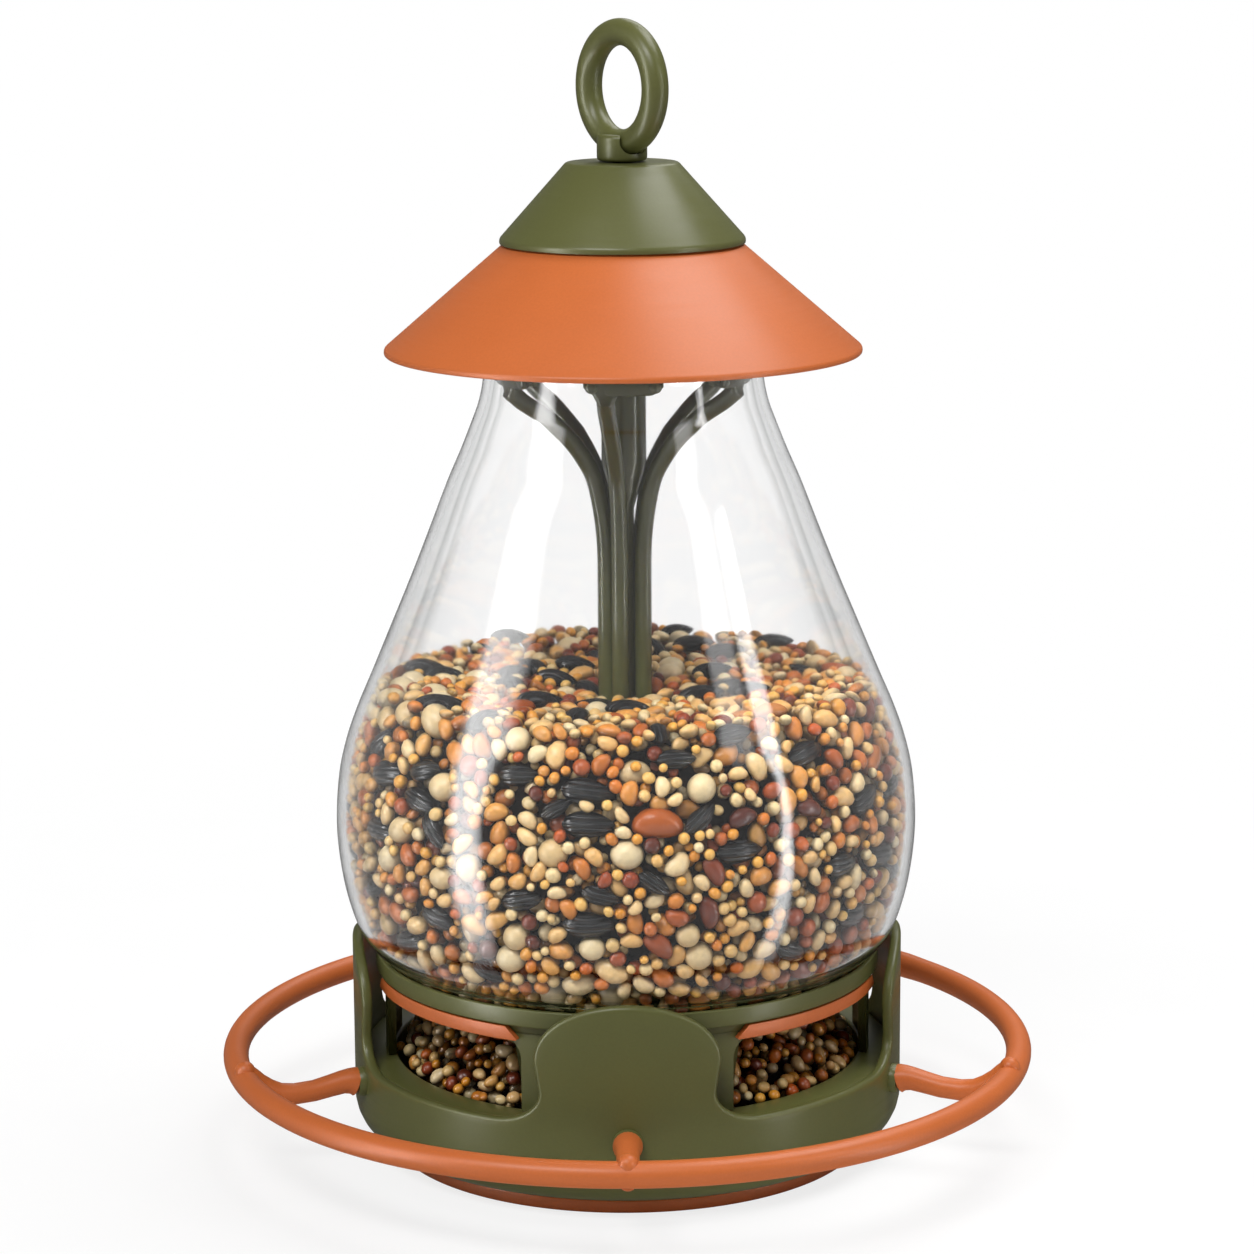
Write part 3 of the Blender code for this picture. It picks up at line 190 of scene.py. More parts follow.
def moved(shell, across, back):
    """A shell carried sideways."""
    return [(x + across, y + back, z) for x, y, z in shell[0]], shell[1]


def joined(*shells):
    """Several shells as one list of points and one of faces."""
    points, faces = [], []
    for shell_points, shell_faces in shells:
        faces += [tuple(index + len(points) for index in face) for face in shell_faces]
        points += shell_points
    return points, faces


def carve(piece, *tools):
    """Cut the tools out of a piece and remove them."""
    for tool in tools:
        cutter = piece.modifiers.new("carve", "BOOLEAN")
        cutter.operation = "DIFFERENCE"
        cutter.solver = "EXACT"
        cutter.object = tool
    bpy.context.view_layer.update()
    graph = bpy.context.evaluated_depsgraph_get()
    mesh = bpy.data.meshes.new_from_object(piece.evaluated_get(graph))
    mesh.name = piece.name
    piece.modifiers.clear()
    piece.data = mesh
    for tool in tools:
        bpy.data.objects.remove(tool, do_unlink=True)
    mesh.set_sharp_from_angle(angle=radians(40))


def fit(piece, body, slot, *nodes):
    """Hand a finished piece to its body and hide the solids that it stands for. The slot is not used."""
    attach(piece, body)
    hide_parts(*nodes)


def coat_solids(material, *names):
    """Give solids that are carried over as they are their material."""
    for name in names:
        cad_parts[name].data.materials.clear()
        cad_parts[name].data.materials.append(material)


terracotta = moulded_plastic("terracotta_polypropylene", "#D26F36", "#CD6B33", 0.38)

PLATE_OUTLINE = [
    (58.7, 3.2), (58.7, 0), (8, 0), (8, 4.7), (2.7, 4.7), (2.7, 6.2),
    (9.5, 6.2), (9.5, 3.2), (54, 3.2), (54, 4.7), (55.8, 4.7), (55.8, 3.2),
]
bottom_plate = make_piece("bottom_plate_disc", *turned_shell(soften(PLATE_OUTLINE, 0.5)), terracotta)
SCREW_PLACES = [polar(30, azimuth, 0)[:2] for azimuth in (45, 135, 225, 315)]
for x, y in SCREW_PLACES:
    hole, recess = [
        make_piece("screw_bore", *joined(turned_shell([(radius, top), (radius, -4), (0.01, -4), (0.01, top)], 32)),
                   terracotta)
        for radius, top in ((1.6, 8), (3, 2))]
    hole.location = recess.location = (x * MM, y * MM, 0)
    carve(bottom_plate, hole, recess)
fit(bottom_plate, "feeder", "terracotta_plastic", "bottom_plate")


# Base tray: one olive polypropylene moulding with an outer wall that rises to
# four rounded lobes, a level ledge and the seed bowl. Its rims are rounded, its
# lower edge curls in to the plate, and the stem's arms stand in its socket.

olive = moulded_plastic("olive_polypropylene", "#636538", "#5F6135", 0.33)

WALL_OUT, WALL_IN, RIM_ROUND = 67.7, 65.1, 1
SILL, LOBE_SHOULDER, LOBE_WAIST = 24.3, 39.3, 31.5
EDGE_OUT = [(67.7, 12), (67.25, 10), (66.4, 8.2), (65, 6.3), (63.2, 4.9), (61, 4), (58.7, 3.5)]
EDGE_IN = [(65.1, 12.4), (64.5, 10.4), (63.6, 9), (62.4, 7.9), (60.6, 6.6), (58.6, 5.4), (56.1, 3.5)]


def quarter(steps, first=0):
    """The angles of a quarter turn in even steps."""
    return [radians(90 * step / steps) for step in range(first, steps + 1)]


def lobe_outline():
    """The rim of one lobe from its tip to the middle of the gap: azimuth, height
    and the azimuth at the foot of the wall that each point is drawn up from."""
    rim = [(19 * sin(turn), LOBE_SHOULDER + 14 * cos(turn), 13 * sin(turn)) for turn in quarter(25)]
    for step in range(1, 7):
        share = step / 7
        rim.append((19 - 1.1 * share, LOBE_SHOULDER - 7.8 * share, 13 + share))
    for turn in quarter(14):
        across = 1 - cos(turn)
        rim.append((17.9 + 10 * across, LOBE_WAIST - 7.2 * sin(turn), 14 + 13.9 * across))
    sill = [27.9 + 17.1 * step / 16 for step in range(1, 17)]
    return rim + [(azimuth, SILL, azimuth) for azimuth in sill]


def lobed_wall():
    """The outer wall as one closed skin, drawn column by column along its rim."""
    half = lobe_outline()
    rim = []
    for lobe in range(4):
        rim += [(90 * lobe - az, z, 90 * lobe - foot) for az, z, foot in half[:0:-1]]
        rim += [(90 * lobe + az, z, 90 * lobe + foot) for az, z, foot in half[:-1]]
    count = len(rim)
    degree = radians(WALL_OUT)
    points = []
    for index, (az, z, foot) in enumerate(rim):
        last, following = rim[index - 1], rim[(index + 1) % count]
        run = ((following[0] - last[0] + 180) % 360 - 180) * degree
        rise = following[1] - last[1]
        length = hypot(run, rise)
        side, down = rise / length / degree, -run / length

        def face(edge, radius, sign):
            """One face of the wall here, from its foot up to its rounded rim."""
            low = edge[0][1]
            near_az, near_z = az + side * RIM_ROUND, z + down * RIM_ROUND
            rows = [polar(out, foot, height) for out, height in edge[::-1]]
            for step in range(1, 10):
                share = step / 10
                rows.append(polar(radius, foot + (near_az - foot) * share, low + (near_z - low) * share))
            for turn in quarter(4):
                back, inward = RIM_ROUND * (1 - cos(turn)), RIM_ROUND * (1 - sin(turn))
                rows.append(polar(radius + sign * back, az + side * inward, z + down * inward))
            return rows

        points += face(EDGE_OUT, WALL_OUT, -1) + face(EDGE_IN, WALL_IN, 1)[::-1]
    return points, ring_faces(count, len(points) // count)


def swept_shell(path, radii, sides=20, closed=False, across=None):
    """A bar along a path, with a radius at each point, or a pair of them: along across and square to it."""
    path = [Vector(point) for point in path]
    count = len(path)
    points = []
    for index, point in enumerate(path):
        before = path[index - 1] if index or closed else point
        after = path[(index + 1) % count] if index < count - 1 or closed else point
        along = (after - before).normalized()
        across = along.orthogonal() if across is None else Vector(across)
        across = (across - along * across.dot(along)).normalized()
        beside = along.cross(across)
        wide, thick = radii[index] if isinstance(radii[index], tuple) else (radii[index], radii[index])
        for side in range(sides):
            turn = tau * side / sides
            points.append(tuple(point + across * cos(turn) * wide + beside * sin(turn) * thick))
    return points, ring_faces(count, sides) if closed else capped_faces(count, sides)


SPOKE_AZIMUTHS = (0, 72, 144, 216, 288)
spoke_sockets = [
    swept_shell([polar(radius, azimuth, 20.3) for radius in (66.4, 67.6, 69.1, 69.4)], [3.6, 3.6, 3.5, 3.3], 28)
    for azimuth in SPOKE_AZIMUTHS]
base_wall = make_piece("base_lobed_wall", *joined(lobed_wall(), *spoke_sockets), olive, 50)
fit(base_wall, "feeder", "olive_plastic", "base_body")

BOWL_OUTLINE = [
    (65.3, 23.7), (65.3, 21.7), (59.4, 21.7), (54.4, 6.8), (2.7, 6.8), (2.7, 8.8), (7.34, 8.8), (7.34, 15.8),
    (9.24, 15.8), (9.24, 8.8), (53.4, 8.8), (57.4, 23.7),
]
screw_boss = turned_shell([(3.6, 7.4), (3.6, 3.5), (1.6, 3.5), (1.6, 7.4)], 32)
screw_bosses = [moved(screw_boss, x, y) for x, y in SCREW_PLACES]
base_bowl = make_piece("base_seed_bowl", *joined(turned_shell(soften(BOWL_OUTLINE, 0.9)), *screw_bosses), olive)
fit(base_bowl, "feeder", "olive_plastic", "base_body")


# Hopper seat: an olive moulding that stands on the ledge. Its collar holds the
# foot of the hopper, its funnel feeds the bowl, and four pillars between the
# feeding ports carry it. It is dark inside, because little light gets there.


def arc_shell(rows, inner, outer, azimuth, divisions):
    """A block bent round the axis. Rows are (height, half angle, inset from each face)."""
    points = []
    for division in range(divisions + 1):
        share = 2 * division / divisions - 1
        points += [polar(outer - back, azimuth + half * share, height) for height, half, back in rows]
        points += [polar(inner + back, azimuth + half * share, height) for height, half, back in rows[::-1]]
    return points, capped_faces(divisions + 1, 2 * len(rows))


COLLAR_OUTLINE = [
    (62, 49.5), (62, 45.2), (59.9, 45.2), (59.9, 43), (57.9, 43), (57.4, 45.2), (56.9, 45.2),
    (44, 38.6), (44, 40.6), (56.9, 47), (60.8, 47), (60.8, 49.5),
]
PORT_MIDDLE, PORT_SIDE, PORT_TOP_SIDE = 51.5, 27, 18.9
pillars = []
for middle, reach in ((0, PORT_MIDDLE), (90, 90 - PORT_MIDDLE), (180, PORT_MIDDLE), (270, 90 - PORT_MIDDLE)):
    side = [(24, reach - PORT_SIDE, 0), (36.6, reach - PORT_SIDE, 0)]
    for turn in quarter(8, 1):
        narrow = PORT_SIDE - (PORT_SIDE - PORT_TOP_SIDE) * (1 - cos(turn))
        side.append((36.6 + 6.4 * sin(turn), reach - narrow, 0))
    side.append((43.4, reach, 0))
    pillars.append(arc_shell(side, 57.9, 59.9, middle, 28))
hopper_seat = make_piece("hopper_seat_moulding", *joined(turned_shell(soften(COLLAR_OUTLINE, 0.4)), *pillars), olive)
fit(hopper_seat, "feeder", "olive_plastic", "hopper_seat")


# Port hoods: four curved orange strips pressed on under the collar, one over
# each feeding port. They are moulded in the plate's polypropylene, with mitred
# ends and softened edges.

HOOD_ROWS = [(41.5, 26.3, 0.35), (41.65, 26.6, 0.1), (42, 26.7, 0), (44.4, 24.3, 0), (44.75, 24, 0.1),
             (44.9, 23.8, 0.35)]
for number, azimuth in enumerate((PORT_MIDDLE, 180 - PORT_MIDDLE, 180 + PORT_MIDDLE, 360 - PORT_MIDDLE), 1):
    hood = make_piece(f"port_hood_strip_{number}", *arc_shell(HOOD_ROWS, 60.2, 61.8, azimuth, 40), terracotta)
    fit(hood, "feeder", "terracotta_plastic", f"port_hood_{number}")


# Hopper: a clear shell blown from polycarbonate, 1.8 mm thick, narrow at the
# neck and full at the belly. It drops into the collar's groove; its surfaces
# are polished, and its foot thickens into the collar.

HOPPER_PROFILE = [
    (33.4, 196.5), (33.5, 192.5), (33.96, 188.1), (34.9, 184), (36.2, 180.4), (39.3, 172.6), (42.7, 164.8),
    (47.3, 153), (52, 141.2), (57, 129.3), (62.05, 117.3), (65.5, 109.3), (68.3, 101.3), (70.1, 93.2),
    (70.9, 83), (70.55, 75), (69.4, 67), (67.6, 60), (65.6, 55), (63.4, 52), (61.6, 50.3),
    (60.5, 49.3), (60.4, 47.3),
]


def eased(points, steps=5):
    """The outline drawn as a smooth curve through its points."""
    smooth = []
    for index in range(len(points) - 1):
        before, here = Vector(points[max(index - 1, 0)]), Vector(points[index])
        after, beyond = Vector(points[index + 1]), Vector(points[min(index + 2, len(points) - 1)])
        for step in range(steps):
            t = step / steps
            smooth.append(tuple(0.5 * (
                2 * here + (after - before) * t + (2 * before - 5 * here + 4 * after - beyond) * t * t
                + (3 * here - before - 3 * after + beyond) * t ** 3)))
    return smooth + [tuple(points[-1])]


def set_in(points, distance):
    """The outline moved inwards, square to itself, with its ends kept level."""
    inner = []
    for index, (radius, height) in enumerate(points):
        if index in (0, len(points) - 1):
            inner.append((radius - distance, height))
            continue
        run, drop = points[index + 1][0] - points[index - 1][0], points[index - 1][1] - points[index + 1][1]
        length = hypot(run, drop)
        inner.append((radius - distance * drop / length, height - distance * run / length))
    return inner


def clear_plastic():
    """Polished polycarbonate: clear, with the faint uneven gloss of a blown shell.
    Lamps shine through it on to the seed."""
    material, node, where = new_material("clear_polycarbonate")
    # The blown wall wavers over about 45 mm
    waver = node("TexNoise", {"Vector": where, "Scale": 1 / (45 * MM), "Detail": 1})
    relief = node("Bump", {"Height": waver, "Strength": 0.05, "Distance": 1.5 * MM})
    # Handling haze, patches of about 8 mm
    haze = node("TexNoise", {"Vector": where, "Scale": 1 / (8 * MM), "Detail": 4})
    rough = node("MapRange", (haze, 0.35, 0.7, 0.03, 0.07))
    # Painted shade: seen edge on, the wall is painted grey, with a painted dark line where its inner face turns away
    edge = node("LayerWeight")
    tint = node("ValToRGB", (edge.outputs["Facing"],), stops=(
        (0.38, "#FFFFFF"), (0.53, "#FBFBFB"), (0.6, "#B4B6B5"), (0.63, "#EDEEEE"), (0.9, "#F0F1F1"),
        (0.985, "#CFD1D1")))
    # The foot was trimmed and polished: rings about 0.9 mm apart, on the lowest 6 mm
    height = node("SeparateXYZ", {0: where})
    foot = node("MapRange", (height.outputs["Z"], 50.5 * MM, 56.5 * MM, 1, 0))
    turned = node("Mapping", {"Vector": where, "Scale": (0.06, 0.06, 1)})
    rings = node("TexNoise", {"Vector": turned, "Scale": 1 / (0.9 * MM), "Detail": 1})
    lines = node("ValToRGB", (rings,), stops=((0.38, "#B8BCBC"), (0.5, "#FFFFFF")))
    wall = node("Mix", {0: foot, 6: tint.outputs["Color"], 7: lines}, data_type="RGBA", blend_type="MULTIPLY")
    shell = node("BsdfPrincipled", {"Base Color": wall.outputs[2], "Roughness": rough, "IOR": 1.4, "Normal": relief,
                                    "Transmission Weight": 1})
    through = node("BsdfTransparent", {"Color": (0.96, 0.96, 0.96, 1)})
    ray = node("LightPath").outputs
    mix = node("MixShader", (ray["Is Shadow Ray"], shell, through))
    return surfaced(material, mix)


hopper_outer = eased(HOPPER_PROFILE)
HOPPER_WALL = 1.8
hopper_section = hopper_outer + set_in(hopper_outer, HOPPER_WALL)[::-1]
hopper = make_piece("hopper_blown_shell", *turned_shell(hopper_section, 180), clear_plastic(), 60)
fit(hopper, "feeder", "clear_plastic", "hopper")


# Neck ring and arms: six olive bars stand round the stem rod, flare out under
# the roof and end in curved feet. Each foot is riveted to a tab of the ring
# that caps the hopper's neck.

coat_solids(olive, "neck_ring")

# The bars and the stem are drawn through a polished die, glossier than the mouldings; their deeper colour is painted
# shade
shaded_olive_rod = moulded_plastic("olive_polypropylene_rod_shaded", "#595C31", "#52552D", 0.2)
ARM_LINE = [(29.8, 189.4), (29, 188), (27.8, 186.9), (26, 185.3), (21.1, 181.9), (17.7, 178.9), (13.7, 174.9),
            (10.3, 170.2), (7.8, 165.3), (6.1, 158), (5.2, 151), (4.94, 145)]
ARM_AZIMUTHS = (0, 64, 124, 180, 236, 296)
# The bar's end is pressed flat and wide where it joins the foot: radius, height, half width and half thickness
ARM_END = [(29.75, 193.4, 3.4, 0.7), (29.75, 191.4, 3.3, 0.72), (29.7, 189.9, 3, 0.8), (29.3, 188.8, 2.6, 1.2)]
arm_line = [point for point in eased(ARM_LINE, 4) if point[1] < 188.1]
arm_line += [(4.94, height) for height in (120, 95, 70, 45, 25, 9.3)]
FOOT_ROWS = [(189.4, 11.6, 0.3), (189.6, 12.9, 0.05), (190.1, 14.9, 0), (191.3, 17.5, 0), (195.9, 17.8, 0),
             (196.2, 17.5, 0.25)]
for number, azimuth in enumerate(ARM_AZIMUTHS, 1):
    # The front arm stands a little left of its foot's middle
    lean = (13, 8) if number == 1 else (0, 0)
    path = [polar(radius, azimuth - lean[1], height) for radius, height, _, _ in ARM_END]
    path += [polar(radius, azimuth - lean[0] + (lean[0] - lean[1]) * (radius - 4.94) / 24.8, height)
             for radius, height in arm_line]
    thickness = [(wide, thick) for _, _, wide, thick in ARM_END] + [2.1] * len(arm_line)
    bar = swept_shell(path, thickness, 24, across=polar(1, azimuth + 90, 0))
    arm = make_piece(f"arm_bar_{number}", *joined(bar, arc_shell(FOOT_ROWS, 29, 30.5, azimuth, 16)), shaded_olive_rod)
    fit(arm, "feeder", "olive_plastic", f"arm_{number}")


# Rivets: two small rivets through each arm's foot and the tab behind it, with low
# domed heads, coloured with the arms. The nuts, washers and screws further on are
# of bright zinc-plated steel.


def zinc_plated_steel():
    """Zinc-plated steel: a cool grey metal with fine drawn lines and a dull spangle."""
    material, node, where = new_material("zinc_plated_steel")
    # Spangle of about 1.2 mm, and drawing lines 0.15 mm apart
    spangle = node("TexVoronoi", {"Vector": where, "Scale": 1 / (1.2 * MM)})
    lines = node("TexNoise", {"Vector": where, "Scale": 1 / (0.15 * MM)})
    colour = node("ValToRGB", (spangle,), stops=((0.1, "#C6C8C9"), (0.8, "#A9ABAC")))
    rough = node("MapRange", (lines, 0, 1, 0.24, 0.42))
    shader = node("BsdfPrincipled", {"Base Color": colour, "Metallic": 1, "Roughness": rough})
    return surfaced(material, shader)


def tipped(azimuth, height):
    """The turn that tips a piece's own axis level and outwards, at an azimuth and a height."""
    return (Matrix.Translation((0, 0, height * MM)) @ Matrix.Rotation(radians(azimuth), 4, "Z")
            @ Matrix.Rotation(radians(90), 4, "X"))


zinc = zinc_plated_steel()
RIVET_HEIGHT = 191.44
RIVET_OUTLINE = [
    (0.02, 31.3), (0.5, 31.25), (1, 31.1), (1.35, 30.9), (1.5, 30.7), (1.5, 30.55), (0.6, 30.5),
    (0.6, 27.2), (1.5, 27.1), (1.5, 26.95), (1, 26.55), (0.02, 26.4),
]
for number, (azimuth, side) in enumerate(product(ARM_AZIMUTHS, (-14, 14)), 1):
    pin = make_piece(f"arm_rivet_{number}", *turned_shell(RIVET_OUTLINE, 24), shaded_olive_rod)
    pin.data.transform(tipped(azimuth + side, RIVET_HEIGHT))
    fit(pin, "feeder", "olive_plastic", f"rivet_{number}")


# Stem: an olive post that narrows to a rod inside the bundle of arms. It runs
# from the nut under the plate to the thread under the cap, and pulls the roof,
# the hopper and the base together. The nut, washers and screws are zinc-plated.

STEM_OUTLINE = [
    (0.02, 233.2), (3.4, 233.2), (4, 232.6), (4, 221.9), (5.4, 221.9), (5.4, 169), (5, 167), (2.4, 158),
    (2.4, 0.9), (2.1, 0.6), (0.02, 0.6),
]
stem = make_piece("stem_post", *turned_shell(soften(STEM_OUTLINE, 0.4), 48), shaded_olive_rod)
fit(stem, "feeder", "olive_plastic", "stem_rod")
coat_solids(zinc, "stem_nut", "stem_washer", "swivel_nut", "swivel_washer", *[f"base_screw_{n}" for n in (1, 2, 3, 4)])


# Roof: an orange cone of polypropylene with a thin upright rim, a flat crown
# and a skirt inside that stands on the neck ring. Flow lines run round it.

ROOF_OUTLINE = [
    (4.3, 224.2), (26, 224.2), (57.3, 197.2), (57.3, 196), (55.3, 196), (35, 213.8),
    (35, 199.3), (33.2, 199.3), (33.2, 215.3), (25.3, 222.2), (4.3, 222.2),
]
roof = make_piece("roof_cone", *turned_shell(soften(ROOF_OUTLINE, 0.5), 180), terracotta)
fit(roof, "roof", "terracotta_plastic", "roof")


# Cap: an olive cone with a rounded bead at its rim. Its socket screws down on
# the stem and presses the rubber gasket on the roof's crown.

CAP_OUTLINE = [
    (2.3, 241.27), (13.4, 241.27), (29.4, 223.3), (29.4, 221.87), (27.6, 223.3), (13.9, 238.4), (7.6, 238.4),
    (7.6, 226.4), (4.4, 226.4), (4.4, 238.4), (2.3, 238.4),
]
cap = make_piece("cap_cone", *turned_shell(soften(CAP_OUTLINE, 0.6), 144), olive)
fit(cap, "cap", "olive_plastic", "cap")


def nitrile_rubber():
    """Nitrile rubber: matt black with a fine talc bloom."""
    material, node, where = new_material("nitrile_rubber")
    # Bloom gathers in patches of about 2 mm
    bloom = node("TexNoise", {"Vector": where, "Scale": 1 / (2 * MM), "Detail": 4})
    colour = node("ValToRGB", (bloom,), stops=((0.4, "#1E1E1E"), (0.75, "#38383A")))
    shader = node("BsdfPrincipled", {"Base Color": colour, "Roughness": 0.8})
    return surfaced(material, shader)


coat_solids(nitrile_rubber(), "cap_gasket")


# Swivel boss and hanging ring: a round olive boss turns on its shank in the cap.
# The ring passes through the pocket in the boss and swings there, and a hook or
# cord goes through it.

RING_RADIUS, RING_TUBE, RING_AZIMUTH, RING_SWING, PIVOT = 13, 3.2, 53, 40, 245.767


def pocket_shell():
    """The room that the ring takes in the boss over its whole swing."""
    radius = RING_TUBE + 0.3
    points = []
    for station in range(-8, 9):
        along = 7.6 * station / 8
        lift = RING_RADIUS - sqrt(RING_RADIUS ** 2 - along ** 2)
        for degrees in range(-175, 185, 10):
            turn, middle = radians(degrees), radians(max(-RING_SWING, min(RING_SWING, degrees)))
            points.append((along, lift * sin(middle) + radius * sin(turn), lift * cos(middle) + radius * cos(turn)))
    return points, capped_faces(17, 36)


BOSS_OUTLINE = [(0.02, 247.77), (6, 247.77), (6, 241.57), (2, 241.57), (2, 233.87), (0.02, 233.87)]
swivel_boss = make_piece("swivel_boss_turned", *turned_shell(soften(BOSS_OUTLINE, 1), 72), olive)
pocket = make_piece("ring_pocket", *pocket_shell(), olive)
pocket.data.transform(Matrix.Rotation(radians(-RING_AZIMUTH), 4, "Z"))
pocket.location = (0, 0, PIVOT * MM)
carve(swivel_boss, pocket)
fit(swivel_boss, "swivel", "olive_plastic", "swivel_boss")

ring_turns = [tau * step / 96 for step in range(96)]
ring_path = [(RING_RADIUS * sin(turn), RING_RADIUS - RING_RADIUS * cos(turn), 0) for turn in ring_turns]
hanging_ring = make_piece("hanging_ring_loop", *swept_shell(ring_path, [RING_TUBE] * 96, 32, True), olive)
hanging_ring.data.transform(tipped(-RING_AZIMUTH, PIVOT))
fit(hanging_ring, "ring", "olive_plastic", "hanging_ring")


# Perch: an orange polypropylene ring, which five curved spokes carry from the
# tray. Each spoke has a flared root plugged into the wall and a round knob
# whose pin goes down through the ring.

PERCH_RADIUS, PERCH_TUBE, PERCH_Z = 97, 3.1, 23.5
perch_path = [polar(PERCH_RADIUS - 0.05, azimuth, PERCH_Z) for azimuth in range(0, 360, 2)]
# The tube swells a little over the joint of its ends
perch_swell = [PERCH_TUBE * (1 + 0.06 * exp(-((azimuth - 130.5) / 2.6) ** 4)) for azimuth in range(0, 360, 2)]
perch_ring = make_piece("perch_ring_tube", *swept_shell(perch_path, perch_swell, 28, True), terracotta)
fit(perch_ring, "feeder", "terracotta_plastic", "perch_ring")

SPOKE_LINE = [
    (63.5, 20.3, 2.2), (69.3, 20.3, 2.2), (69.45, 20.3, 3.3), (69.6, 20.4, 3.5), (70.2, 20.55, 3.4),
    (71.4, 20.7, 3.1), (73, 20.6, 2.85), (76, 20, 2.7), (80, 19.2, 2.6), (85, 18.9, 2.6),
    (88.5, 19.4, 2.6), (91.4, 20.8, 2.6), (93.8, 22.5, 2.6), (95.4, 24.2, 2.5), (96.7, 25.4, 2.4),
]
KNOB_OUTLINE = [
    (0.02, 28.4), (0.8, 28.28), (1.5, 27.9), (2.1, 27.25), (2.45, 26.4), (2.55, 25.4), (2.4, 24.2),
    (2, 23), (1.4, 21.5), (1.4, 20.2), (1, 19.95), (0.02, 19.95),
]
for number, azimuth in enumerate(SPOKE_AZIMUTHS, 1):
    bar = swept_shell([polar(radius, azimuth, height) for radius, height, _ in SPOKE_LINE],
                      [thick for _, _, thick in SPOKE_LINE], 24)
    knob = moved(turned_shell(KNOB_OUTLINE, 32), *polar(PERCH_RADIUS - 0.1, azimuth, 0)[:2])
    spoke = make_piece(f"perch_spoke_bar_{number}", *joined(bar, knob), terracotta)
    fit(spoke, "feeder", "terracotta_plastic", f"perch_spoke_{number}")


# Seed: a loose mix of black sunflower, beans, peas, small kernels, sorghum and
# millet. It fills the hopper to a rough level, lies close against the clear
# wall, and runs through the funnel into a heap in the bowl behind each port.

dice = random.Random(7)
clear_face = [point for point in set_in(hopper_outer, HOPPER_WALL + 0.3) if point[1] > 49]
wall_inside = [point for point in clear_face if point[1] < 117.3]
SEED_SLOPES = {
    "wall": wall_inside[::-1],
    "top": [(wall_inside[0][0] - 0.2, 117), (45, 116.6), (25, 115.2), (8.6, 113.2)],
    "heap": [(56.8, 24.4), (50, 31.6), (43.4, 38)],
}


# Each slope in short stretches, with their ends and outward normals, and the area of each
slope_pieces, slope_areas = [], []
for slope, line in SEED_SLOPES.items():
    for (r1, z1), (r2, z2) in zip(line, line[1:]):
        run, rise = r2 - r1, z2 - z1
        length = hypot(run, rise)
        slope_pieces.append((slope, (r1, z1), (r2, z2), (rise / length, -run / length)))
        slope_areas.append(length * (r1 + r2) / 2)
# The balls of the grains laid so far, by the cube that holds their middle
occupied = {}
# Grains nest a little, keep clear of the stem, and are tried ever deeper in short steps
CUBE, NESTLE, STEM_ROOM, STEP_IN = 7, 0.94, 7.4, 0.45


def free_room(balls):
    """Whether the balls that stand for a grain keep clear of all grains laid so far."""
    for x, y, z, radius in balls:
        near = product(*[(value // CUBE - 1, value // CUBE, value // CUBE + 1) for value in (x, y, z)])
        for ox, oy, oz, other in (ball for cube in near for ball in occupied.get(cube, ())):
            reach = (radius + other) * NESTLE
            if (x - ox) ** 2 + (y - oy) ** 2 + (z - oz) ** 2 < reach * reach:
                return False
    return True


def behind_wall(point):
    """How far a point lies inside the clear wall's own face."""
    for (r1, z1), (r2, z2) in zip(clear_face, clear_face[1:]):
        if z2 <= point.z <= z1:
            return r2 + (r1 - r2) * (point.z - z2) / (z1 - z2) - hypot(point.x, point.y)
    return 1


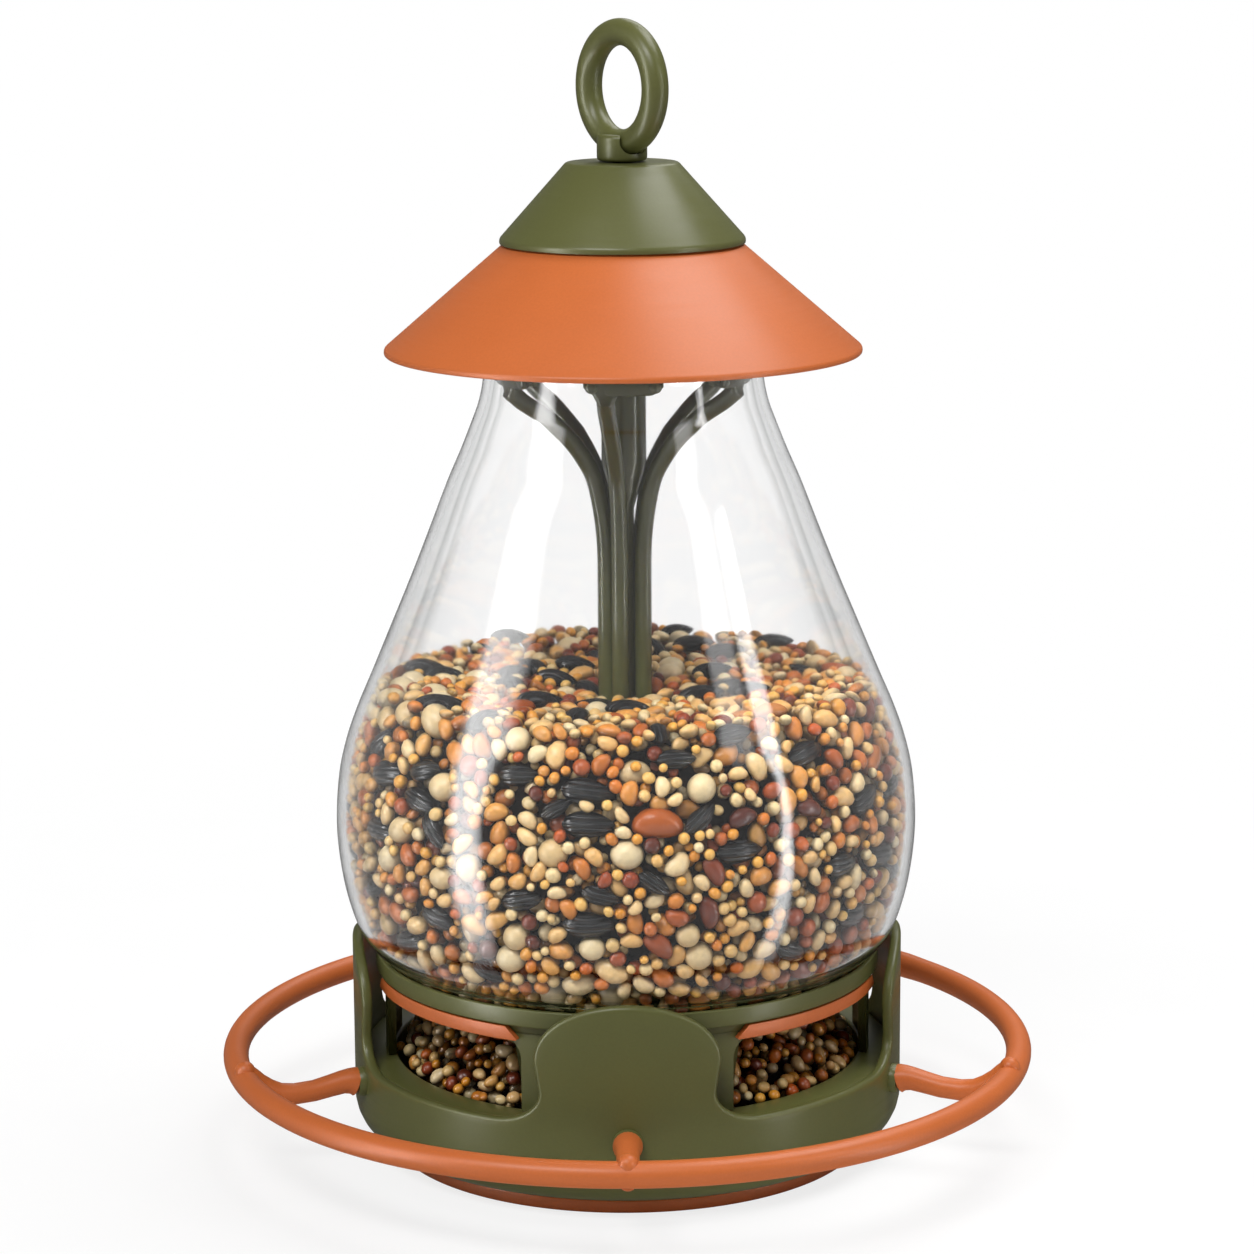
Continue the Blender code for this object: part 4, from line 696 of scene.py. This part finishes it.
def lay_grain(size, spread, sway, deepest, ball_count, spot=None):
    """Find a place for one grain, as near the outside of the fill as it goes.

    size holds its half length, half width and half thickness; spread is how far
    it may turn from level, sway how far it tips from the surface, in degrees.
    spot fixes its slope, azimuth, height (radius on the top) and turn.
    """
    long, wide, thick = size
    if spot:
        slope, azimuth, place, turned = spot
        axis = 0 if slope == "top" else 1
        _, low, high, normal = next(piece for piece in slope_pieces if piece[0] == slope
                                    and (piece[1][axis] - place) * (piece[2][axis] - place) <= 0)
        share = (place - low[axis]) / (high[axis] - low[axis])
    else:
        slope, low, high, normal = dice.choices(slope_pieces, slope_areas)[0]
        share, azimuth = dice.random(), dice.uniform(0, 360)
        turned = dice.gauss(0, spread) if slope == "wall" else dice.uniform(0, 180)
    if slope == "heap" and (long > 2.6 or thick > 1.68):
        return None
    radius, height = low[0] + (high[0] - low[0]) * share, low[1] + (high[1] - low[1]) * share
    outward = Vector(polar(1, azimuth, 0))
    normal = outward * normal[0] + Vector((0, 0, normal[1]))
    level = Vector((outward.y, -outward.x, 0))
    turn = radians(turned)
    along = level * cos(turn) + normal.cross(level) * sin(turn)
    tip = 0 if spot else radians(dice.gauss(0, sway if slope == "wall" else sway * 1.6))
    along = along * cos(tip) + normal * sin(tip)
    beside = normal.cross(along).normalized()
    facing = along.cross(beside)
    if not spot and dice.random() < 0.5:
        along, beside = -along, -beside
    stand = hypot(long * sin(tip), thick * cos(tip)) + (long * long / 130 if slope == "wall" else 0)
    depth = 0 if slope == "wall" else -1.6 if spot else dice.uniform(-0.9, 0.6)
    surface = Vector(polar(radius, azimuth, height))
    ball = (wide + thick) / 2
    while depth <= deepest:
        centre = surface - normal * (stand + depth)
        if slope == "top" and hypot(centre.x, centre.y) < STEM_ROOM + wide:
            return None
        sides = [centre + along * long * end + beside * wide * edge
                 for end, edge in ((1, 0), (-1, 0), (0.7, 0.7), (0.7, -0.7), (-0.7, 0.7), (-0.7, -0.7))]
        poking = min(behind_wall(point) for point in sides)
        if poking < 0 and slope != "heap":
            centre -= outward * (0.1 - poking)
        balls = []
        for index in range(ball_count):
            place = (index + 0.5) / ball_count * 2 - 1
            girth = ball * sqrt(max(1 - (place * 0.92) ** 2, 0.2))
            ball_centre = centre + along * place * max(long - ball * 0.55, 0)
            balls.append((*ball_centre, girth if ball_count > 1 else (long + wide + thick) / 3))
        if free_room(balls):
            for found in balls:
                occupied.setdefault(tuple(value // CUBE for value in found[:3]), []).append(found)
            return Matrix((along, beside, facing)).transposed(), centre, max(depth, 0)
        depth += STEP_IN
    return None


def round_grain(finer):
    """A unit ball as points and faces."""
    blank = bmesh.new()
    bmesh.ops.create_icosphere(blank, subdivisions=3 if finer else 2, radius=1)
    points = [vertex.co.copy() for vertex in blank.verts]
    faces = [tuple(vertex.index for vertex in face.verts) for face in blank.faces]
    blank.free()
    return points, faces


def kidney_grain(finer):
    """A unit ball that bends a little along its length and is flatter at one side."""
    points, faces = round_grain(finer)
    bent = [Vector((p.x, p.y * (0.92 + 0.08 * p.x) + 0.22 * p.x * p.x - 0.08, p.z * (0.95 - 0.1 * p.y)))
            for p in points]
    return bent, faces


def sunflower_grain():
    """A sunflower's hull: a drop with a point, a blunt end, and a keeled edge."""
    points = []
    for station in range(15):
        place = station / 14
        girth = max(sin(pi * place ** 0.8) ** 0.66 if 0 < place < 1 else 0, 0.04)
        for side in range(16):
            turn = tau * side / 16
            keel = 1 + 0.05 * abs(cos(turn)) ** 6
            points.append(Vector((1 - 2 * place, girth * cos(turn) * keel, girth * sin(turn))))
    return points, capped_faces(15, 16)


def grain_coat(name, stops, rough, mottle, ridges=False):
    """A dry seed coat: satin, each grain with its own tint, mottled and a little pitted, with painted shade."""
    material, node, where = new_material(name)
    tint = node("Attribute", attribute_name="grain_tint")
    colour = node("ValToRGB", (tint.outputs["Fac"],), stops=stops)
    # Coats are mottled in patches of about 1.3 mm
    patches = node("TexNoise", {"Vector": where, "Scale": 1 / (1.3 * MM), "Detail": 3, "Roughness": 0.6})
    shade = node("MapRange", (patches, 0.3, 0.7, 1 - mottle, 1 + mottle / 2))
    # Painted shade: each grain is painted darker down its sides, where it lies against the next
    lie = node("Attribute", attribute_name="grain_lie")
    split = node("SeparateXYZ", {0: lie.outputs["Vector"]})
    side = node("MapRange", (split.outputs["Z"], 0, 0.55, 0.42, 1))
    # Little light reaches a grain that lies a few millimetres behind the others
    depth = node("Attribute", attribute_name="grain_depth")
    deep = node("MapRange", (depth.outputs["Fac"], 0.4, 4.5, 1, 0.32))
    outer = node("Math", (side, deep), operation="MULTIPLY")
    shaded = node("Math", (shade, outer), operation="MULTIPLY")
    coat = node("VectorMath", {0: colour, "Scale": shaded}, operation="SCALE")
    height = patches
    if ridges:
        # A hull has a keel and about three ribs at each side of it; the grey on their crests is a painted highlight
        bowed = node("Math", (split.outputs["Y"], tint.outputs["Fac"]), operation="ADD")
        ribs = node("Math", (bowed, 15), operation="MULTIPLY")
        wave = node("Math", {0: ribs}, operation="SINE")
        rough_wave = node("Math", (patches, 0.5, wave), operation="MULTIPLY_ADD")
        crest = node("MapRange", (rough_wave, 0.9, 1.3))
        crest_highlight = node("ValToRGB", (crest,), stops=((0, "#010101"), (1, "#303336")))
        coat = node("VectorMath", (coat, crest_highlight), operation="ADD")
        height = wave
    relief = node("Bump", {"Height": height, "Strength": 0.6 if ridges else 0.35, "Distance": 0.2 * MM})
    shader = node("BsdfPrincipled", {"Base Color": coat, "Roughness": rough, "Normal": relief})
    return surfaced(material, shader)


def grain_piece(name, grains, shape, material):
    """All grains of one kind as one mesh, each with its tint, its depth and its own lie."""
    unit, unit_faces = shape
    points, faces, tints, depths = [], [], [], []
    for turned_to, centre, depth, size, tint in grains:
        faces += [tuple(len(points) + index for index in face) for face in unit_faces]
        points += [(centre + turned_to @ (p * Vector(size))) * MM for p in unit]
        tints += [tint] * len(unit)
        depths += [depth] * len(unit)
    lies = [value for p in unit for value in p] * len(grains)
    mesh = bpy.data.meshes.new(name)
    mesh.from_pydata(points, [], faces)
    for key, kind, field, values in (("grain_tint", "FLOAT", "value", tints), ("grain_depth", "FLOAT", "value", depths),
                                     ("grain_lie", "FLOAT_VECTOR", "vector", lies)):
        mesh.attributes.new(key, kind, "POINT").data.foreach_set(field, values)
    mesh.shade_smooth()
    mesh.materials.append(material)
    fit(add_object(name, mesh), "feeder", "mixed_seed", "seed_fill")


# Large grains that lie in plain sight: kind and slope, then azimuth, height (radius on the top),
# turn, length and tint of each
NOTED_GRAINS = [
    ("bean", "wall", [
        (6.5, 96.4, -3, 12.2, 0.62), (17.5, 84.5, -62, 7.6, 0.25), (16.5, 74.5, -78, 8.2, 0.12),
        (6.5, 66.8, -42, 8.4, 0.42), (24, 96.5, 15, 7.4, 0), (40, 96, -20, 7.2, 0.05)]),
    ("pea", "wall", [
        (0.2, 89.3, 0, 7.8, 0.3), (-7, 66.1, 0, 6.3, 0.4), (-25, 61.4, 20, 7.4, 0.1), (12.5, 77.5, -60, 8, 0.5)]),
    ("sunflower", "wall", [
        (-23, 106.5, 5, 10.2, 0.3), (-8, 103.9, -5, 12.3, 0.6), (-7.5, 96.4, 0, 12.4, 0.2), (15, 97.1, 40, 9.4, 0.7),
        (23, 88.7, 0, 11.4, 0.1), (5.5, 82.5, -35, 8.6, 0.9), (-5, 79.6, -15, 9, 0.5), (-21, 77.4, 10, 10.4, 0.4),
        (-7.5, 72, 0, 12.4, 0.8), (42.5, 108.6, 10, 11, 0.3), (-66.5, 106.5, 50, 10, 0.6), (-47, 104.2, 20, 9.5, 0.2),
        (-47, 97, -15, 10.5, 0.7), (-60, 86.9, 0, 11, 0.1), (-41.5, 69.3, -20, 10.5, 0.5), (-53, 60.2, 10, 10.6, 0.9),
        (58.5, 94.4, 20, 11, 0.4), (48.5, 80.7, 0, 11.2, 0.8), (36.5, 61.4, -20, 9.5, 0.3), (-14, 99.8, 30, 7.8, 0.6),
        (-30.5, 57.6, -30, 8.5, 0.2), (11, 110.6, 0, 9.2, 0.5), (24.5, 115, 5, 10, 0.7)]),
    ("bean", "top", [
        (40, 52, -20, 8.6, 0.9)]),
    ("sunflower", "top", [
        (-56.8, 52.1, 66, 12, 0.1), (-46, 28, 46, 11.5, 0.4), (0.8, 29.7, 12, 10.8, 0.8),
        (59.9, 21.1, -50, 11.8, 0.3), (-116.8, 18.8, 100, 10.8, 0.6), (47, 55.4, -45, 11.6, 0.2),
        (-149.5, 24.6, 140, 10.4, 0.5), (120.7, 24.9, -110, 10.4, 0.7), (69.8, 31.6, -62, 10.6, 0.1),
        (140.6, 40.1, -130, 10.6, 0.9), (156.2, 43.4, -150, 10.8, 0.4), (136.1, 56, -120, 11.2, 0.2),
        (-104.4, 51.7, 100, 10.8, 0.6), (-110.4, 28.5, 120, 9.8, 0.3), (-147.8, 56, 140, 10.4, 0.8)]),
]
# Name, count, mean length, width and thickness, size spread, turn, tip, deepest place, balls
GRAIN_KINDS = [
    ("sunflower", 48, (11.4, 5.5, 4.4), 0.1, 24, 6, 0.5, 4),
    ("bean", 16, (9.2, 6, 5.2), 0.1, 40, 8, 0.5, 2),
    ("pea", 52, (7, 6.4, 6), 0.08, 60, 10, 0.8, 1),
    ("kernel", 1150, (6, 4.4, 3.6), 0.16, 60, 12, 2.5, 2),
    ("sorghum", 800, (4.4, 4, 3.5), 0.12, 60, 15, 3, 1),
    ("kernel", 1500, (5, 3.8, 3.3), 0.14, 60, 14, 5, 2),
    ("oat", 1000, (3.6, 3.1, 2.8), 0.14, 60, 15, 4.5, 1),
    ("white_millet", 2400, (3.2, 2.9, 2.6), 0.12, 60, 15, 5, 1),
    ("millet", 4200, (2.9, 2.7, 2.5), 0.12, 60, 15, 6, 1),
]
laid = {}
for kind, slope, spots in NOTED_GRAINS:
    lengths = next(row[2] for row in GRAIN_KINDS if row[0] == kind)
    for azimuth, place, turn, length, tint in spots:
        size = tuple(value / 2 * length / lengths[0] for value in lengths)
        found = lay_grain(size, 0, 0, 1.5, 4 if kind == "sunflower" else 2, (slope, azimuth, place, turn))
        if found:
            laid.setdefault(kind, []).append((*found, size, tint))
for kind, count, lengths, spread, turn, sway, deepest, balls in GRAIN_KINDS:
    for _ in range(count):
        grow = max(1 + dice.gauss(0, spread), 0.65)
        size = tuple(value / 2 * grow * dice.uniform(0.93, 1.07) for value in lengths)
        for _ in range(8 if deepest < 1 else 2):
            found = lay_grain(size, turn, sway, deepest, balls)
            if found:
                laid.setdefault(kind, []).append((*found, size, dice.random()))
                break

# Name, kind, shape, then the coat's name, colours, roughness and mottling
SEED_PIECES = [
    ("seed_sunflower", "sunflower", sunflower_grain(),
     "sunflower_hull", ((0, "#060607"), (1, "#0D0E0F")), 0.25, 0.2),
    ("seed_beans", "bean", kidney_grain(True),
     "bean_coat", ((0, "#56281E"), (0.3, "#8C3E1E"), (0.6, "#B65A20"), (1, "#D08840")), 0.26, 0.12),
    ("seed_peas", "pea", round_grain(True),
     "pea_coat", ((0, "#F4E0B4"), (0.6, "#F6DFAE"), (1, "#E6C48A")), 0.36, 0.1),
    ("seed_kernels", "kernel", kidney_grain(False),
     "kernel_coat", ((0, "#FCE6B6"), (0.3, "#FAD08C"), (0.55, "#F2B460"), (0.78, "#E49038"), (0.9, "#CC7028"),
                     (1, "#A04416")), 0.32, 0.14),
    ("seed_sorghum", "sorghum", round_grain(False),
     "sorghum_coat", ((0, "#5C2412"), (0.35, "#9C4220"), (0.7, "#C0622A"), (1, "#D48236")), 0.3, 0.16),
    ("seed_oats", "oat", round_grain(False),
     "orange_millet_coat", ((0, "#CC5C1C"), (0.5, "#E4862A"), (1, "#F6AE42")), 0.32, 0.14),
    ("seed_white_millet", "white_millet", round_grain(False),
     "white_millet_coat", ((0, "#FCE6B2"), (0.6, "#FAD690"), (1, "#F2BE6C")), 0.32, 0.12),
    ("seed_millet", "millet", round_grain(False),
     "golden_millet_coat", ((0, "#FCD078"), (0.45, "#F8B446"), (0.8, "#EA9626"), (1, "#FCE2A8")), 0.3, 0.12),
]
for name, kind, shape, coat, stops, rough, mottle in SEED_PIECES:
    grain_piece(name, laid[kind], shape, grain_coat(coat, stops, rough, mottle, kind == "sunflower"))


def painted_shade_seed():
    """The seed behind the outer grains, coloured near-black brown as painted shade, with the grains' own texture."""
    material, node, where = new_material("painted_shade_seed")
    # Cells of 4 mm, the mean size of a grain
    grains = node("TexVoronoi", {"Vector": where, "Scale": 1 / (4 * MM)})
    # Painted shade: the hidden seed is coloured near-black brown, as if unlit
    colour = node("ValToRGB", (grains,), stops=((0.15, "#24140A"), (0.6, "#0C0603")))
    relief = node("Bump", {"Height": grains, "Strength": 0.8, "Distance": -1.5 * MM})
    shader = node("BsdfPrincipled", {"Base Color": colour, "Roughness": 0.9, "Normal": relief,
                                     "Specular IOR Level": 0.1})
    return surfaced(material, shader)


CORE_INSET = 7.4
core_wall = [point for point in set_in(hopper_outer, CORE_INSET) if 54 < point[1] < 108.5]
CORE_OUTLINE = [
    (8.2, 107.5), (core_wall[0][0] - 1.5, 110.5), *core_wall, (46.5, 48.5), (41, 43), (40, 35),
    (52.2, 21.5), (51.8, 13), (50, 9.6), (9.9, 9.6), (9.9, 16.5), (8.2, 16.5),
]
seed_core = make_piece("seed_core", *turned_shell(CORE_OUTLINE, 96), painted_shade_seed())
fit(seed_core, "feeder", "mixed_seed", "seed_fill")


# Studio: a plain white floor that keeps the shadow, soft panels above and behind,
# glowing cards that draw the long streaks on the clear wall, and the camera at
# the angle of view.

ROOM_LIGHT, ROOM_GLOSS, CARD_GLOW = 0.17, 0.14, 14


def seen_directly(node, ray):
    """1 where the eye looks straight or through the clear wall, 0 for light that the pieces gather."""
    seen = node("Math", (ray["Is Camera Ray"], ray["Is Transmission Ray"]), operation="MAXIMUM")
    # The near wall may mirror the background inside itself; what lies behind it may not
    behind = node("Math", (ray["Transmission Depth"], 2.5), operation="GREATER_THAN")
    turned = node("Math", (ray["Glossy Depth"], behind, ray["Diffuse Depth"]),
                  operation="MULTIPLY_ADD")
    straight = node("Math", (turned, 0.5), operation="LESS_THAN")
    return node("Math", (seen, straight), operation="MULTIPLY")


def studio_floor():
    """Matt white floor; the background is white where it is seen directly."""
    material, node, where = new_material("studio_floor")
    # Paper tooth, patches of about 40 mm
    tooth = node("TexNoise", {"Vector": where, "Scale": 1 / (40 * MM)})
    colour = node("ValToRGB", (tooth,), stops=((0.3, "#F6F6F6"), (0.7, "#FBFBFB")))
    matt = node("BsdfDiffuse", {"Color": colour})
    white = node("Emission")
    ray = node("LightPath").outputs
    seen = seen_directly(node, ray)
    # The shadow stays near the feeder, and further out the paper is plain white
    reach = node("VectorMath", {0: where}, operation="LENGTH")
    plain = node("MapRange", (reach.outputs["Value"], 0.12, 0.45, 0.8, 1))
    part = node("Math", (seen, plain), operation="MULTIPLY")
    mix = node("MixShader", (part, matt, white))
    # In gloss the floor is as grey as the room round it
    room = node("Emission", {"Strength": ROOM_GLOSS})
    in_gloss = node("Math", (ray["Is Glossy Ray"], ray["Is Transmission Ray"]),
                    operation="SUBTRACT", use_clamp=True)
    mirrored = node("MixShader", (in_gloss, mix, room))
    return surfaced(material, mirrored)


floor_mesh = bpy.data.meshes.new("studio_floor")
floor_mesh.from_pydata([(-6, -6, -0.0002), (6, -6, -0.0002), (6, 6, -0.0002), (-6, 6, -0.0002)], [], [(0, 1, 2, 3)])
floor_mesh.materials.append(studio_floor())
add_object("studio_floor", floor_mesh)

world = bpy.data.worlds.new("studio_light")
world.use_nodes = True
world.node_tree.nodes.clear()
node = partial(add_node, world.node_tree)
ray = node("LightPath").outputs
direct = seen_directly(node, ray)
shine = node("MapRange", (ray["Is Glossy Ray"], 0, 1, ROOM_LIGHT, ROOM_GLOSS))
level = node("Mix", {0: direct, 2: shine, 3: 1}, data_type="FLOAT")
sky = node("Background", {"Color": (1, 1, 1, 1), "Strength": level})
node("OutputWorld", {"Surface": sky})
bpy.context.scene.world = world


def soft_lamp(name, azimuth, distance, height, width, tall, watts):
    """A soft panel that faces the feeder."""
    light = bpy.data.lights.new(name, "AREA")
    light.shape = "RECTANGLE"
    light.size, light.size_y, light.energy = width, tall, watts
    lamp = add_object(name, light)
    lamp.location = polar(distance, azimuth, height)
    toward = Vector((0, 0, 0.12)) - Vector(lamp.location)
    lamp.rotation_euler = toward.to_track_quat("-Z", "Y").to_euler()
    lamp.visible_camera = lamp.visible_transmission = False


soft_lamp("key_panel", -25, 1.07, 1.4, 0.9, 0.4, 15)
soft_lamp("top_panel", 112, 0.53, 1.4, 0.9, 0.8, 13)
soft_lamp("back_panel", 165, 1.2, 1.15, 0.9, 0.6, 4)


def glow_card(name, soft, rows):
    """A tall glowing card that bends and runs in along the floor, seen in gloss only.

    Each row: distance and height in mm, the azimuths of its two edges, and how bright it is.
    """
    points, glow = [], []
    for distance, height, first, last, bright in rows:
        for azimuth, share in ((first - soft, 0), (first + soft, 1), (last - soft, 1), (last + soft, 0)):
            points.append([value * MM for value in polar(distance, azimuth, height)])
            glow.append(bright * share)
    mesh = bpy.data.meshes.new(name)
    mesh.from_pydata(points, [], ring_faces(len(rows), 4, close_rows=False, close_columns=False))
    mesh.attributes.new("glow", "FLOAT", "POINT").data.foreach_set("value", glow)
    material, node, _ = new_material(name)
    level = node("Attribute", attribute_name="glow")
    strength = node("Math", (level.outputs["Fac"], CARD_GLOW), operation="MULTIPLY")
    ray = node("LightPath").outputs
    shiny = node("Math", (ray["Diffuse Depth"], 0.5), operation="LESS_THAN")
    shown = node("Math", (strength, shiny), operation="MULTIPLY")
    shader = node("Emission", {"Strength": shown})
    mesh.materials.append(surfaced(material, shader))
    card = add_object(name, mesh)
    card.visible_camera = card.visible_diffuse = card.visible_shadow = False


glow_card("left_streak_card", 2.4, [
    (115, 1, -55.3, -43.2, 0.1), (183, 1, -59, -47.5, 0.5), (276, 1, -64.2, -51.9, 0.85), (500, 1, -67, -55.5, 1),
    (1250, 1, -69.5, -58.3, 1), (1300, 150, -69.7, -58.6, 1), (1300, 240, -70.5, -58.6, 1),
    (1300, 650, -76.1, -58.6, 0.9), (1300, 760, -75.5, -56, 0.6), (1300, 830, -74.5, -51, 0.45),
    (1300, 930, -72.5, -49.2, 0.4), (1300, 1100, -70, -47, 0.3)])
glow_card("right_streak_card", 0.7, [
    (115, 1, 42.6, 49.8, 0.1), (178, 1, 49.4, 56.6, 0.5), (325, 1, 55.6, 61.1, 0.9), (900, 1, 60, 65, 1),
    (1250, 1, 61, 65.3, 1), (1300, 100, 61.5, 65.8, 1), (1300, 520, 63.9, 67.1, 1),
    (1300, 690, 61.2, 70.5, 1), (1300, 745, 61.2, 69.3, 0.9), (1300, 790, 61.2, 69.3, 0.5),
    (1300, 815, 61.5, 69, 0)])
glow_card("right_veil_card", 1.4, [
    (1310, 600, 48, 60, 0), (1310, 780, 46.4, 58.6, 0.25), (1310, 850, 44, 58, 0.3),
    (1310, 960, 41.4, 55.7, 0.3), (1310, 1150, 39, 54, 0.25)])

camera_data = bpy.data.cameras.new("camera")
camera_data.lens = 106.33
camera = add_object("camera", camera_data)
camera.location = (0.00052, -0.88296, 0.31014)
camera.rotation_euler = (Matrix.Rotation(radians(78.3789), 3, "X") @ Matrix.Rotation(radians(-0.34), 3, "Z")).to_euler()
bpy.context.scene.camera = camera
bpy.context.scene.view_settings.view_transform = "Standard"
